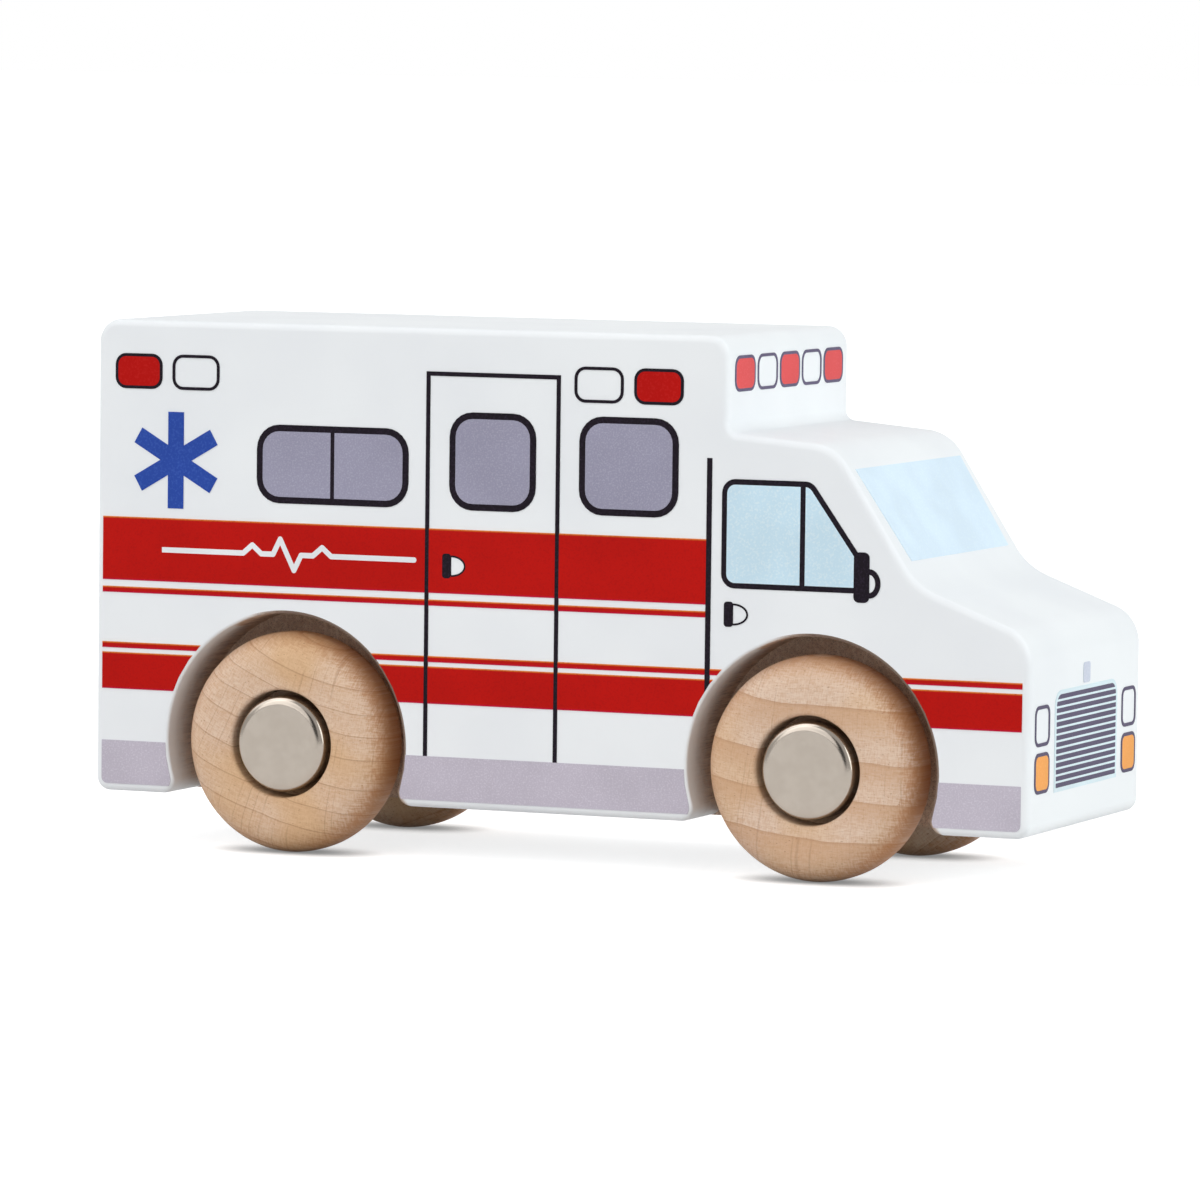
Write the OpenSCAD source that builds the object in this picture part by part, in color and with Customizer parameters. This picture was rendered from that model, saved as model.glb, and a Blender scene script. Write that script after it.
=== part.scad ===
// Wooden toy ambulance: one painted block on two steel axles with four free-running wheels.
// +X is forward, +Y is the left side, +Z is up; the origin is on the ground below the middle.

/* [Block] */
// Length of the block, from the rear face to the front face
body_l = 130; // [129:0.5:150]
// Width of the block between its flat sides
body_w = 42.5; // [36:0.5:50]
// Height of the box roof above the ground
roof_z = 68.9; // [66:0.1:80]
// Height of the underside above the ground
underside_z = 7; // [5:0.1:8.5]
// Length of the cab, from the step below the box roof to the front face
cab_l = 41.1; // [39:0.1:46]
// Height of the cab roof at the step
cab_roof_z = 56.7; // [55:0.1:58]
// Fall of the cab roof towards the front, in degrees
cab_roof_fall = 4.9; // [1:0.1:8]
// Slope of the windscreen, in degrees
windscreen_slope = 57.3; // [53:0.1:60]
// Length of the bonnet, from the front face to the foot of the windscreen
bonnet_l = 15.5; // [14:0.1:16.5]
// Fall of the bonnet towards the front, in degrees
bonnet_fall = 20.9; // [16:0.1:24]
// Height where the bonnet would meet the front face
nose_z = 32.4; // [31:0.1:35]
// Rounding along the side edges
edge_r = 1; // [0.8:0.1:1.5]
// Radius of the roof's rear corner
rear_roof_r = 3; // [2:0.1:5]
// Radius of the roof's front corner
front_roof_r = 2.6; // [2:0.1:5]
// Radius inside the step between the box and the cab roof
step_r = 1.4; // [1:0.1:3]
// Radius between the cab roof and the windscreen
cab_roof_r = 6.2; // [3:0.1:8]
// Radius at the foot of the windscreen
windscreen_foot_r = 9; // [4:0.1:10]
// Radius between the bonnet and the front face
nose_r = 5.1; // [3:0.1:6]
// Radius of the underside's front and rear corners
underside_r = 1.8; // [1.6:0.1:3]

/* [Wheel arches] */
// Gap between a tread and the wall of its arch
arch_gap = 2.5; // [1.6:0.1:2.7]
// Depth of an arch from the flat side
arch_depth = 10.2; // [9.8:0.1:11.4]
// Rounding of the mouth of an arch
arch_edge_r = 0.4; // [0.3:0.1:0.8]
// Radius of the lower corners of an arch
arch_foot_r = 1.8; // [1.6:0.1:2.4]

/* [Wheels] */
// Diameter of a wheel
wheel_d = 28.8; // [27:0.1:31]
// Thickness of a wheel at its rim
wheel_t = 9.4; // [8.6:0.1:10.2]
// How far a wheel's outer face stands out of the flat side
wheel_proud = 1.2; // [1:0.1:2.6]
// Rounding of both edges of the rim
rim_r = 4; // [2:0.1:4.1]
// Diameter of the recess for the axle cap
recess_d = 14; // [13.6:0.1:16]
// Depth of the recess for the axle cap
recess_depth = 5; // [4.8:0.1:5.6]
// Diameter of the boss on the inner face
boss_d = 11; // [8:0.1:14]
// Gap between the boss and the floor of the arch
boss_gap = 0.4; // [0.3:0.1:0.8]

/* [Axles and caps] */
// Diameter of an axle rod
axle_d = 5; // [4:0.1:6]
// Bevel on the ends of an axle rod
axle_bevel = 0.4; // [0.2:0.1:0.8]
// Distance from the front face back to the front axle
front_overhang = 29.2; // [27:0.1:32]
// Distance from the rear face forward to the rear axle
rear_overhang = 27.5; // [26:0.1:32]
// Gap all round a turning rod in its bore
running_gap = 0.08; // [0.03:0.01:0.1]
// Outer diameter of a push-on cap
cap_d = 12.6; // [11:0.1:13]
// Height of a push-on cap
cap_h = 4.6; // [4:0.1:4.7]
// Sheet thickness of a push-on cap
cap_wall = 0.7; // [0.5:0.1:1]
// Rounding of the cap's outer edge
cap_edge_r = 1.2; // [0.8:0.1:1.5]
// How far a cap stands out of the wheel's face
cap_proud = 0.5; // [0:0.1:0.8]
// Thickness of the collar inside the cap that grips the rod
collar_t = 0.8; // [0.5:0.1:1.2]

/* [Side print] */
// Thickness of the transferred print film
film_t = 0.08; // [0.05:0.01:0.15]
// Height of the lower red band's bottom edge
lower_band_z = 20.5; // [19:0.1:22]
// Width of the lower red band
lower_band_h = 4.8; // [3:0.1:6]
// Height of the upper red band's bottom edge
upper_band_z = 34.8; // [33:0.1:36]
// Width of the upper red band
upper_band_h = 8.3; // [6:0.1:9]
// Width of the thin red lines beside the bands
pinstripe_h = 0.78; // [0.4:0.02:1.2]
// White gap between the lower band and its thin line
lower_pinstripe_gap = 0.57; // [0.3:0.01:1]
// White gap between the upper band and its thin line
upper_pinstripe_gap = 0.86; // [0.3:0.01:1.2]
// Height of the grey skirt's top edge
skirt_z = 13.7; // [12:0.1:16]
// Depth of the window sills below the roof
sill_drop = 23.3; // [22:0.1:24]
// Height of the two-pane rear window
rear_window_h = 10.2; // [8:0.1:12]
// Width of the two-pane rear window
rear_window_w = 21.6; // [18:0.1:23]
// Distance from the rear face to the middle of the rear window
rear_window_x = 34; // [33:0.1:35]
// Height of the door window and the window in front of it
tall_window_h = 12.6; // [10:0.1:13]
// Width of the door window
door_window_w = 12.1; // [9:0.1:14]
// Width of the window in front of the door
front_window_w = 13.7; // [11:0.1:15]
// Distance from the step back to the middle of the window in front of the door
front_window_x = 13.4; // [13:0.1:15]
// Corner radius of the windows
window_r = 3.2; // [2:0.1:4]
// Width of the window frames' line
window_line = 0.85; // [0.5:0.01:1.1]
// Width of the side door
door_w = 18.2; // [16:0.1:19]
// Distance from the step back to the door's front line
door_x = 23.2; // [22.5:0.1:24.5]
// Depth of the door's top line below the roof
door_drop = 5.6; // [4.5:0.1:8]
// Width of the door lines and the window dividers
door_line = 0.56; // [0.3:0.01:0.8]
// Width of a marker lamp
lamp_w = 6.8; // [5:0.1:7.4]
// Height of a marker lamp
lamp_h = 4.6; // [3:0.1:5.2]
// Corner radius of a marker lamp
lamp_r = 1.5; // [0.8:0.1:2]
// Width of the lamps' outline
lamp_line = 0.4; // [0.2:0.01:0.6]
// Distance between the middles of two marker lamps
lamp_pitch = 8.25; // [8:0.05:9]
// Depth of the marker lamps' middles below the roof
lamp_drop = 6.7; // [6:0.1:7.5]
// Distance from the rear face to the middle of the rear lamp pair
rear_lamps_x = 10.2; // [9.5:0.1:12]
// Distance from the step back to the middle of the front lamp pair
front_lamps_x = 13.5; // [13:0.1:15]
// Overall height of the blue six-armed figure
star_d = 12.6; // [10:0.1:13]
// Width of the figure's arms
star_arm_w = 2.25; // [1.5:0.05:3]
// Distance from the rear face to the figure's middle
star_x = 11.5; // [10:0.1:13]
// Depth of the figure's middle below the roof
star_drop = 18.2; // [17.5:0.1:18.5]
// Height of the tall beat of the white pulse trace on the upper band
pulse_h = 4; // [3:0.1:5]
// Width of the tall beat
pulse_beat_w = 4; // [3:0.1:5]
// Height of the small beats before and after it
pulse_small_h = 1.1; // [0.6:0.1:1.6]
// Width of a small beat
pulse_small_w = 2.6; // [2:0.1:3]
// Distance from the tall beat to a small one
pulse_small_x = 5; // [4.2:0.1:6]
// Line width of the pulse trace
pulse_line = 0.7; // [0.4:0.05:0.9]
// Distance from the rear face to the start of the pulse trace
pulse_rear_gap = 9.6; // [4:0.1:12]
// Distance from the end of the pulse trace to the side door
pulse_door_gap = 1.8; // [1:0.1:6]

/* [Cab print] */
// Distance from the step back to the cab line
cab_line_x = 2.3; // [2:0.05:3.5]
// Width of the cab line and the cab window's line
cab_line_w = 0.7; // [0.4:0.05:0.9]
// Depth of the cab line's top below the cab roof
cab_line_drop = 3.3; // [2.5:0.1:6]
// Distance from the cab line to the rear edge of the cab window
cab_window_x = 1.75; // [1.2:0.05:2.5]
// Depth of the cab window's top edge below the cab roof
cab_window_drop = 5.85; // [4.5:0.05:7]
// Height of the cab window
cab_window_h = 13.85; // [12:0.05:15]
// Length of the cab window's top edge
cab_window_top_l = 12.2; // [10:0.1:13]
// Length of the cab window's bottom edge
cab_window_l = 19; // [17:0.1:20]
// Height of the cab window's front edge
cab_window_front_h = 4.4; // [3:0.1:6]
// Corner radius at the cab window's front edge
cab_window_front_r = 0.95; // [0.95:0.05:2]
// Corner radius of the cab window's other corners
cab_window_r = 1.8; // [1.2:0.1:3]
// Distance from the cab window's rear edge to its divider
cab_divider_x = 11; // [9:0.1:12]
// Width of the mirror
mirror_w = 2.1; // [1.5:0.1:3]
// Height of the mirror
mirror_h = 6.35; // [4:0.05:8]
// How far the mirror hangs below the cab window
mirror_hang = 1.15; // [0.5:0.05:2]
// Depth of the middle of the mirror's arm loop below the mirror's middle
mirror_loop_drop = 0.75; // [0:0.05:1.5]
// Height of the mirror's arm loop
mirror_loop_h = 3.7; // [2.5:0.1:4.5]
// Reach of the mirror's arm loop
mirror_loop_w = 1.5; // [1:0.1:2.5]
// Height of a door handle's bar
handle_h = 3.2; // [2:0.1:4]
// Width of a door handle's bar
handle_w = 1.25; // [0.8:0.05:2]
// Reach of the pale grip in front of the bar
grip_w = 2.05; // [1:0.05:3]
// Line width around the grip
grip_line = 0.24; // [0.15:0.01:0.4]
// Distance from a door's rear line to its handle
handle_x = 2.8; // [2:0.1:4]
// Depth of the side door handle's middle below the middle of the upper band
side_handle_drop = 0.6; // [0:0.1:1.2]
// Depth of the cab handle's middle below the cab window
cab_handle_drop = 3.3; // [2.5:0.1:4]

/* [Front print] */
// Distance from the edge of the flat front to a headlamp
headlamp_inset = 1; // [0.4:0.1:1.6]
// Width of a headlamp
headlamp_w = 5.5; // [4:0.1:5.6]
// Height of a headlamp
headlamp_h = 5.15; // [4:0.05:6]
// Height of the middle of a headlamp above the ground
headlamp_z = 21; // [20:0.1:22]
// Distance from a headlamp down to the indicator below it
indicator_drop = 5.95; // [5.5:0.05:7]
// Corner radius of headlamps and indicators
headlamp_r = 1.3; // [0.8:0.1:2]
// Line width around headlamps and indicators
headlamp_line = 0.45; // [0.25:0.01:0.7]
// Number of grille bars
grille_bars = 14; // [6:1:18]
// Distance between two grille bars
grille_pitch = 0.86; // [0.7:0.01:0.95]
// Height of one grille bar
grille_bar_h = 0.58; // [0.3:0.01:0.6]
// Width of the grille
grille_w = 22.7; // [16:0.1:24]
// Corner radius at the top of the grille
grille_r = 1.6; // [1:0.1:3]
// Share of the space between the bars and a headlamp that the grille's pale backing fills
backing_share = 0.22; // [0.1:0.01:0.4]
// Height of the grille's middle above the ground
grille_z = 18.6; // [17.5:0.1:19.5]
// Width of the plain plate above the grille
plate_w = 2.5; // [1.5:0.1:5]
// Height of the plain plate above the grille
plate_h = 2.6; // [1.5:0.1:2.8]
// Corner radius of the plate
plate_r = 0.4; // [0.2:0.1:0.6]
// Gap between the grille's backing and the plate
plate_gap = 0.3; // [0.2:0.1:0.6]
// Number of lamps in the light bar over the cab
bar_lamps = 5; // [3:2:5]
// Gap between two lamps in the light bar
bar_lamp_gap = 0.8; // [0.4:0.05:1.5]
// Distance from the edge of the flat to the light bar's end lamps
bar_inset = 1.4; // [0:0.1:2]
// Height of a lamp in the light bar
bar_lamp_h = 4.6; // [3:0.1:5]
// Depth of the light bar's middle below the roof
bar_drop = 4.9; // [4.9:0.1:6.5]
// Distance from the edge of the flat to the windscreen's upper corners
windscreen_top_inset = 1.3; // [0:0.1:3]
// Distance from the edge of the flat to the windscreen's lower corners
windscreen_foot_inset = 2.5; // [0:0.1:3]
// Distance from the rounding over the windscreen to its top edge
windscreen_top_margin = 0.5; // [0.1:0.05:2]
// Distance from the rounding at the windscreen's foot to its bottom edge
windscreen_foot_margin = 0.35; // [0.1:0.05:2]

/* [Rear print] */
// Width of the pair of rear doors
rear_doors_w = 31; // [26:0.5:33]
// Width of a rear door window
rear_door_window_w = 11; // [8:0.1:12]
// Distance from the rear windows to the top of the rear doors
rear_door_margin = 1.6; // [1:0.1:1.6]

/* [Hidden] */
$fn = 64;

// Steps in a rounded corner, in an edge rounding and in an arch
corner_steps = 6;
edge_steps = 4;
arch_steps = 24;
// How far a cutting shape runs past the surface it cuts
overcut = 2;

// Main stations along the block
front_x = body_l / 2;
rear_x = -body_l / 2;
step_x = front_x - cab_l;
side_y = body_w / 2;
front_axle_x = front_x - front_overhang;
rear_axle_x = rear_x + rear_overhang;
axle_z = wheel_d / 2;
axle_r = axle_d / 2;
bore_r = axle_r + running_gap;
arch_r = wheel_d / 2 + arch_gap;
arch_floor_y = side_y - arch_depth;

// Wheel and cap stations, measured out from the middle of the block
wheel_face_y = side_y + wheel_proud;
cap_face_y = wheel_face_y + cap_proud;
boss_y = arch_floor_y + boss_gap;
axle_end_y = cap_face_y - cap_wall;

// Corners of the side profile with their radii, counter-clockwise in X and Z
foot_x = front_x - bonnet_l;
foot_z = nose_z + bonnet_l * tan(bonnet_fall);
brow_x = (foot_z + foot_x * tan(windscreen_slope) - cab_roof_z - step_x * tan(cab_roof_fall))
    / (tan(windscreen_slope) - tan(cab_roof_fall));
brow_z = cab_roof_z - (brow_x - step_x) * tan(cab_roof_fall);
profile = [
    [[rear_x, underside_z], underside_r],
    [[front_x, underside_z], underside_r],
    [[front_x, nose_z], nose_r],
    [[foot_x, foot_z], windscreen_foot_r],
    [[brow_x, brow_z], cab_roof_r],
    [[step_x, cab_roof_z], step_r],
    [[step_x, roof_z], front_roof_r],
    [[rear_x, roof_z], rear_roof_r]
];

// Where the side print stands
sill_z = roof_z - sill_drop;
lamp_z = roof_z - lamp_drop;
rear_window_mid = [rear_x + rear_window_x, sill_z + rear_window_h / 2];
front_window_mid = [step_x - front_window_x, sill_z + tall_window_h / 2];
door_front_x = step_x - door_x;
door_rear_x = door_front_x - door_w;
door_mid_x = (door_front_x + door_rear_x) / 2;
door_top_z = roof_z - door_drop;
door_window_mid = [door_mid_x, sill_z + tall_window_h / 2];
cab_x = step_x - cab_line_x;
cab_window_rear_x = cab_x + cab_window_x;
cab_window_top_z = cab_roof_z - cab_window_drop;
cab_window_foot_z = cab_window_top_z - cab_window_h;
cab_window_front_x = cab_window_rear_x + cab_window_l;
cab_window = [
    [[cab_window_rear_x, cab_window_foot_z], cab_window_r],
    [[cab_window_front_x, cab_window_foot_z], cab_window_front_r],
    [[cab_window_front_x, cab_window_foot_z + cab_window_front_h], cab_window_front_r],
    [[cab_window_rear_x + cab_window_top_l, cab_window_top_z], cab_window_r],
    [[cab_window_rear_x, cab_window_top_z], cab_window_r]
];
star_mid = [rear_x + star_x, roof_z - star_drop];
band_mid_z = upper_band_z + upper_band_h / 2;
upper_pinstripe_z = upper_band_z - upper_pinstripe_gap - pinstripe_h;
lower_pinstripe_z = lower_band_z + lower_band_h + lower_pinstripe_gap;
lamp_mids = [
    [rear_x + rear_lamps_x - lamp_pitch / 2, lamp_z],
    [rear_x + rear_lamps_x + lamp_pitch / 2, lamp_z],
    [step_x - front_lamps_x - lamp_pitch / 2, lamp_z],
    [step_x - front_lamps_x + lamp_pitch / 2, lamp_z]
];
red_lamps = [0, 3];
side_handle_mid = [door_rear_x + handle_x, band_mid_z - side_handle_drop];
cab_handle_mid = [cab_x + handle_x, cab_window_foot_z - cab_handle_drop];
mirror_mid = [cab_window_front_x, cab_window_foot_z - mirror_hang + mirror_h / 2];
mirror_loop_mid = mirror_mid + [mirror_w / 2, -mirror_loop_drop];
pulse_start_x = rear_x + pulse_rear_gap;
pulse_end_x = door_rear_x - pulse_door_gap;
pulse_mid_x = (pulse_start_x + pulse_end_x) / 2;

// Where the front and rear print stand
flat_half_w = side_y - edge_r;
nose_flat_z = nose_z - nose_r * tan((90 - bonnet_fall) / 2);
bar_z = roof_z - bar_drop;
bar_lamp_w = (2 * (flat_half_w - bar_inset) - (bar_lamps - 1) * bar_lamp_gap) / bar_lamps;
bar_lamp_pitch = bar_lamp_w + bar_lamp_gap;
headlamp_y = flat_half_w - headlamp_inset - headlamp_w / 2;
grille_margin = backing_share * (headlamp_y - headlamp_w / 2 - grille_w / 2);
windscreen_low = windscreen_foot_r * tan((windscreen_slope - bonnet_fall) / 2) + windscreen_foot_margin;
windscreen_high = norm([foot_x - brow_x, foot_z - brow_z])
    - cab_roof_r * tan((windscreen_slope - cab_roof_fall) / 2) - windscreen_top_margin;
windscreen_low_w = flat_half_w - windscreen_foot_inset;
windscreen_high_w = flat_half_w - windscreen_top_inset;
grille_h = (grille_bars - 1) * grille_pitch + grille_bar_h;
grille_top_z = grille_z + grille_h / 2 + grille_margin;
indicator_z = headlamp_z - indicator_drop;
rear_window_y = rear_doors_w / 4;
rear_door_top_z = sill_z + tall_window_h + rear_door_margin;
rear_lamp_y = rear_doors_w / 2 - lamp_w / 2;

function unit(v) = v / norm(v);
function left_of(v) = [-v[1], v[0]];
function along(c, r, from, to, steps) =
    let (turn = (to - from) / steps)
    [for (i = [0 : steps]) c + r * [cos(from + turn * i), sin(from + turn * i)]];

// Arc at one corner of an outline that is drawn in by a distance
function corner_arc(before, corner, after, r, inset) =
    let (
        u = unit(corner - before),
        v = unit(after - corner),
        side = sign(cross(u, v)),
        turn = acos(u * v),
        centre = corner - u * r * tan(turn / 2) + side * r * left_of(u),
        start = atan2(-side * left_of(u)[1], -side * left_of(u)[0])
    )
    along(centre, r - side * inset, start, start + side * turn, corner_steps);

// Points of a counter-clockwise outline with rounded corners, drawn in by a distance
function outline(corners, inset = 0) =
    let (n = len(corners))
    [for (i = [0 : n - 1]) each corner_arc(
        corners[(i + n - 1) % n][0], corners[i][0], corners[(i + 1) % n][0], corners[i][1], inset)];

function box_corners(mid, w, h, r) = [
    [mid + [-w / 2, -h / 2], r],
    [mid + [w / 2, -h / 2], r],
    [mid + [w / 2, h / 2], r],
    [mid + [-w / 2, h / 2], r]
];

// Points of a wheel arch in the side view, widened at its mouth by a distance
arch_foot_z = underside_z + arch_foot_r;
arch_foot_x = sqrt(pow(arch_r + arch_foot_r, 2) - pow(axle_z - arch_foot_z, 2));
arch_foot_angle = atan2(axle_z - arch_foot_z, arch_foot_x);
function arch_outline(x, widen = 0) = concat(
    [[x - arch_foot_x, underside_z - overcut], [x + arch_foot_x, underside_z - overcut]],
    along([x + arch_foot_x, arch_foot_z], arch_foot_r - widen, 270, 180 - arch_foot_angle, corner_steps),
    along([x, axle_z], arch_r + widen, -arch_foot_angle, 180 + arch_foot_angle, arch_steps),
    along([x - arch_foot_x, arch_foot_z], arch_foot_r - widen, arch_foot_angle, -90, corner_steps)
);

// Stations of a quarter-round edge: [distance in from the flat side, distance drawn in]
function edge_stations(r) = [for (i = [0 : edge_steps])
    r * [1 - sin(90 * i / edge_steps), 1 - cos(90 * i / edge_steps)]];

function ring(points, y) = [for (p = points) [p[0], y, p[1]]];

// Solid through rings that have the same number of points, from the lowest Y to the highest
module loft(rings) {
    n = len(rings[0]);
    last = len(rings) - 1;
    walls = [for (j = [0 : last - 1]) for (i = [0 : n - 1])
        [j * n + i, j * n + (i + 1) % n, (j + 1) * n + (i + 1) % n, (j + 1) * n + i]];
    low_end = [for (i = [0 : n - 1]) n - 1 - i];
    high_end = [for (i = [0 : n - 1]) last * n + i];
    polyhedron([for (r = rings) each r], concat([low_end], walls, [high_end]));
}

// The block with its side edges rounded, before the arches and bores are cut
module rounded_block() {
    stations = edge_stations(edge_r);
    right = [for (i = [edge_steps : -1 : 0])
        ring(outline(profile, stations[i][1]), stations[i][0] - side_y)];
    left = [for (s = stations)
        ring(outline(profile, s[1]), side_y - s[0])];
    loft(concat(right, left));
}

// What is cut out for one wheel on the left side, with a rounded mouth
module arch_cut(x) {
    floor_ring = ring(arch_outline(x), arch_floor_y);
    mouth = [for (s = edge_stations(arch_edge_r)) ring(arch_outline(x, s[1]), side_y - s[0])];
    outside = ring(arch_outline(x, arch_edge_r), side_y + overcut);
    loft(concat([floor_ring], mouth, [outside]));
}

module axle_bore(x) {
    translate([x, side_y, axle_z])
        rotate([90, 0, 0])
            cylinder(h = body_w, r = bore_r);
}

module body_block() {
    color("white")
        difference() {
            rounded_block();
            for (x = [front_axle_x, rear_axle_x]) {
                arch_cut(x);
                mirror([0, 1, 0])
                    arch_cut(x);
                axle_bore(x);
            }
        }
}

// Steel rod with bevelled ends, from cap to cap
module axle_rod(x) {
    color("silver")
        translate([x, 0, axle_z])
            rotate([90, 0, 0])
                rotate_extrude()
                    polygon([
                        [0, -axle_end_y],
                        [axle_r - axle_bevel, -axle_end_y],
                        [axle_r, axle_bevel - axle_end_y],
                        [axle_r, axle_end_y - axle_bevel],
                        [axle_r - axle_bevel, axle_end_y],
                        [0, axle_end_y]
                    ]);
}

// Places a turned piece on an axle: its own Z runs outwards from the middle of the block
module on_axle(x, side) {
    translate([x, 0, axle_z])
        rotate([-90 * side, 0, 0])
            children();
}

// Half section of a wheel's rim with both edges rounded
module rim_section() {
    rim_y = wheel_face_y - wheel_t;
    translate([0, rim_y])
        square([wheel_d / 2 - rim_r, wheel_t]);
    translate([0, rim_y + rim_r])
        square([wheel_d / 2, wheel_t - 2 * rim_r]);
    for (y = [rim_y + rim_r, wheel_face_y - rim_r])
        translate([wheel_d / 2 - rim_r, y])
            circle(r = rim_r);
}

module wheel(x, side) {
    color("burlywood")
        on_axle(x, side)
            difference() {
                union() {
                    rotate_extrude()
                        intersection() {
                            rim_section();
                            square([wheel_d, wheel_face_y + overcut]);
                        }
                    translate([0, 0, boss_y])
                        cylinder(h = wheel_face_y - wheel_t / 2 - boss_y, d = boss_d);
                }
                translate([0, 0, wheel_face_y - recess_depth])
                    cylinder(h = recess_depth + overcut, d = recess_d);
                translate([0, 0, boss_y - overcut])
                    cylinder(h = wheel_face_y, r = bore_r);
            }
}

// Pressed steel cap: a round-edged cup with an inner collar that grips the rod
module cap(x, side) {
    cap_r = cap_d / 2;
    rim_y = cap_face_y - cap_h;
    color("lightgray")
        on_axle(x, side) {
            rotate_extrude()
                difference() {
                    union() {
                        translate([0, rim_y])
                            square([cap_r, cap_h - cap_edge_r]);
                        translate([0, rim_y])
                            square([cap_r - cap_edge_r, cap_h]);
                        translate([cap_r - cap_edge_r, cap_face_y - cap_edge_r])
                            circle(r = cap_edge_r);
                    }
                    translate([axle_r + collar_t, rim_y - overcut])
                        square([cap_r - cap_wall - axle_r - collar_t, cap_h - cap_wall + overcut]);
                    translate([-overcut, rim_y - overcut])
                        square([axle_r + overcut, cap_h - cap_wall + overcut]);
                }
        }
}

// Flat part of a side that takes the print
module side_flat() {
    difference() {
        polygon(outline(profile, edge_r));
        for (x = [front_axle_x, rear_axle_x])
            polygon(arch_outline(x, arch_edge_r));
    }
}

// Print film on the right side, drawn in X and Z
module on_right() {
    translate([0, -side_y, 0])
        rotate([90, 0, 0])
            linear_extrude(film_t)
                intersection() {
                    side_flat();
                    children();
                }
}

module on_left() {
    mirror([0, 1, 0])
        on_right()
            children();
}

// Print film on a face square to X, drawn in Y and Z as seen from outside
module on_front(x, low_z, high_z) {
    translate([x, 0, 0])
        rotate([90, 0, 90])
            linear_extrude(film_t)
                intersection() {
                    translate([-flat_half_w, low_z])
                        square([2 * flat_half_w, high_z - low_z]);
                    children();
                }
}

module on_nose() {
    on_front(front_x, underside_z + underside_r, nose_flat_z)
        children();
}

module on_light_bar() {
    on_front(step_x, cab_roof_z + step_r, roof_z - front_roof_r)
        children();
}

module on_rear() {
    mirror([1, 0, 0])
        on_front(-rear_x, underside_z + underside_r, roof_z - rear_roof_r)
            children();
}

// Flat shape with rounded corners
module panel(mid, w, h, r, inset = 0) {
    polygon(outline(box_corners(mid, w, h, r), inset));
}

// Line round a panel
module panel_line(mid, w, h, r, line) {
    difference() {
        panel(mid, w, h, r);
        panel(mid, w, h, r, line);
    }
}

module bar(x, low_z, high_z, w) {
    translate([x - w / 2, low_z])
        square([w, high_z - low_z]);
}

module band(from_x, to_x, z, h) {
    translate([from_x, z])
        square([to_x - from_x, h]);
}

// Half ellipse that bulges towards the front
module bulge(mid, w, h) {
    polygon([for (a = [-90 : 180 / arch_steps : 90]) mid + [w * cos(a), h / 2 * sin(a)]]);
}

// Printed door handle: a dark bar with a pale grip in front of it
module handle_bar(mid) {
    panel(mid, handle_w, handle_h, handle_w / 3);
}

module handle_grip(mid, inset = 0) {
    bulge(mid + [handle_w / 2, 0], grip_w - inset, handle_h - handle_w / 3 - 2 * inset);
}

module handle_line(mid) {
    handle_bar(mid);
    difference() {
        handle_grip(mid);
        handle_grip(mid, grip_line);
    }
}

module mirror_line() {
    panel(mirror_mid, mirror_w, mirror_h, mirror_w / 3);
    difference() {
        bulge(mirror_loop_mid, mirror_loop_w, mirror_loop_h);
        bulge(mirror_loop_mid, mirror_loop_w - cab_line_w, mirror_loop_h - 2 * cab_line_w);
    }
}

// Black lines of the side print
module side_lines() {
    for (i = [0 : len(lamp_mids) - 1])
        panel_line(lamp_mids[i], lamp_w, lamp_h, lamp_r, lamp_line);
    panel_line(rear_window_mid, rear_window_w, rear_window_h, window_r, window_line);
    bar(rear_window_mid[0], sill_z, sill_z + rear_window_h, door_line);
    panel_line(door_window_mid, door_window_w, tall_window_h, window_r, window_line);
    panel_line(front_window_mid, front_window_w, tall_window_h, window_r, window_line);
    for (x = [door_rear_x, door_front_x])
        bar(x, skirt_z, door_top_z, door_line);
    band(door_rear_x, door_front_x, door_top_z - door_line, door_line);
    handle_line(side_handle_mid);
    bar(cab_x, axle_z, cab_roof_z - cab_line_drop, cab_line_w);
    difference() {
        polygon(outline(cab_window));
        polygon(outline(cab_window, cab_line_w));
    }
    bar(cab_window_rear_x + cab_divider_x, cab_window_foot_z, cab_window_top_z, cab_line_w);
    mirror_line();
    handle_line(cab_handle_mid);
}

module side_panes() {
    difference() {
        union() {
            panel(rear_window_mid, rear_window_w, rear_window_h, window_r, window_line);
            panel(door_window_mid, door_window_w, tall_window_h, window_r, window_line);
            panel(front_window_mid, front_window_w, tall_window_h, window_r, window_line);
        }
        side_lines();
    }
}

module side_cab_glass() {
    difference() {
        polygon(outline(cab_window, cab_line_w));
        side_lines();
    }
}

module side_red_lamps() {
    for (i = red_lamps)
        panel(lamp_mids[i], lamp_w, lamp_h, lamp_r, lamp_line);
}

module side_star() {
    difference() {
        translate(star_mid)
            for (a = [0 : 60 : 120])
                rotate(a)
                    square([star_arm_w, star_d], center = true);
        side_lines();
    }
}

// Straight stroke with round ends
module stroke(from, to, w) {
    translate(from)
        rotate(atan2(to[1] - from[1], to[0] - from[0]))
            translate([0, -w / 2])
                square([norm(to - from), w]);
    translate(to)
        circle(d = w);
}

// Corners of a small beat of the pulse trace, which only rises, and of the tall one, which rises and falls
function small_beat(x) = [
    [x - pulse_small_w / 2, band_mid_z],
    [x, band_mid_z + pulse_small_h],
    [x + pulse_small_w / 2, band_mid_z]
];
function tall_beat(x) = [
    [x - pulse_beat_w / 2, band_mid_z],
    [x - pulse_beat_w / 4, band_mid_z + pulse_h / 2],
    [x + pulse_beat_w / 4, band_mid_z - pulse_h / 2],
    [x + pulse_beat_w / 2, band_mid_z]
];

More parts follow.
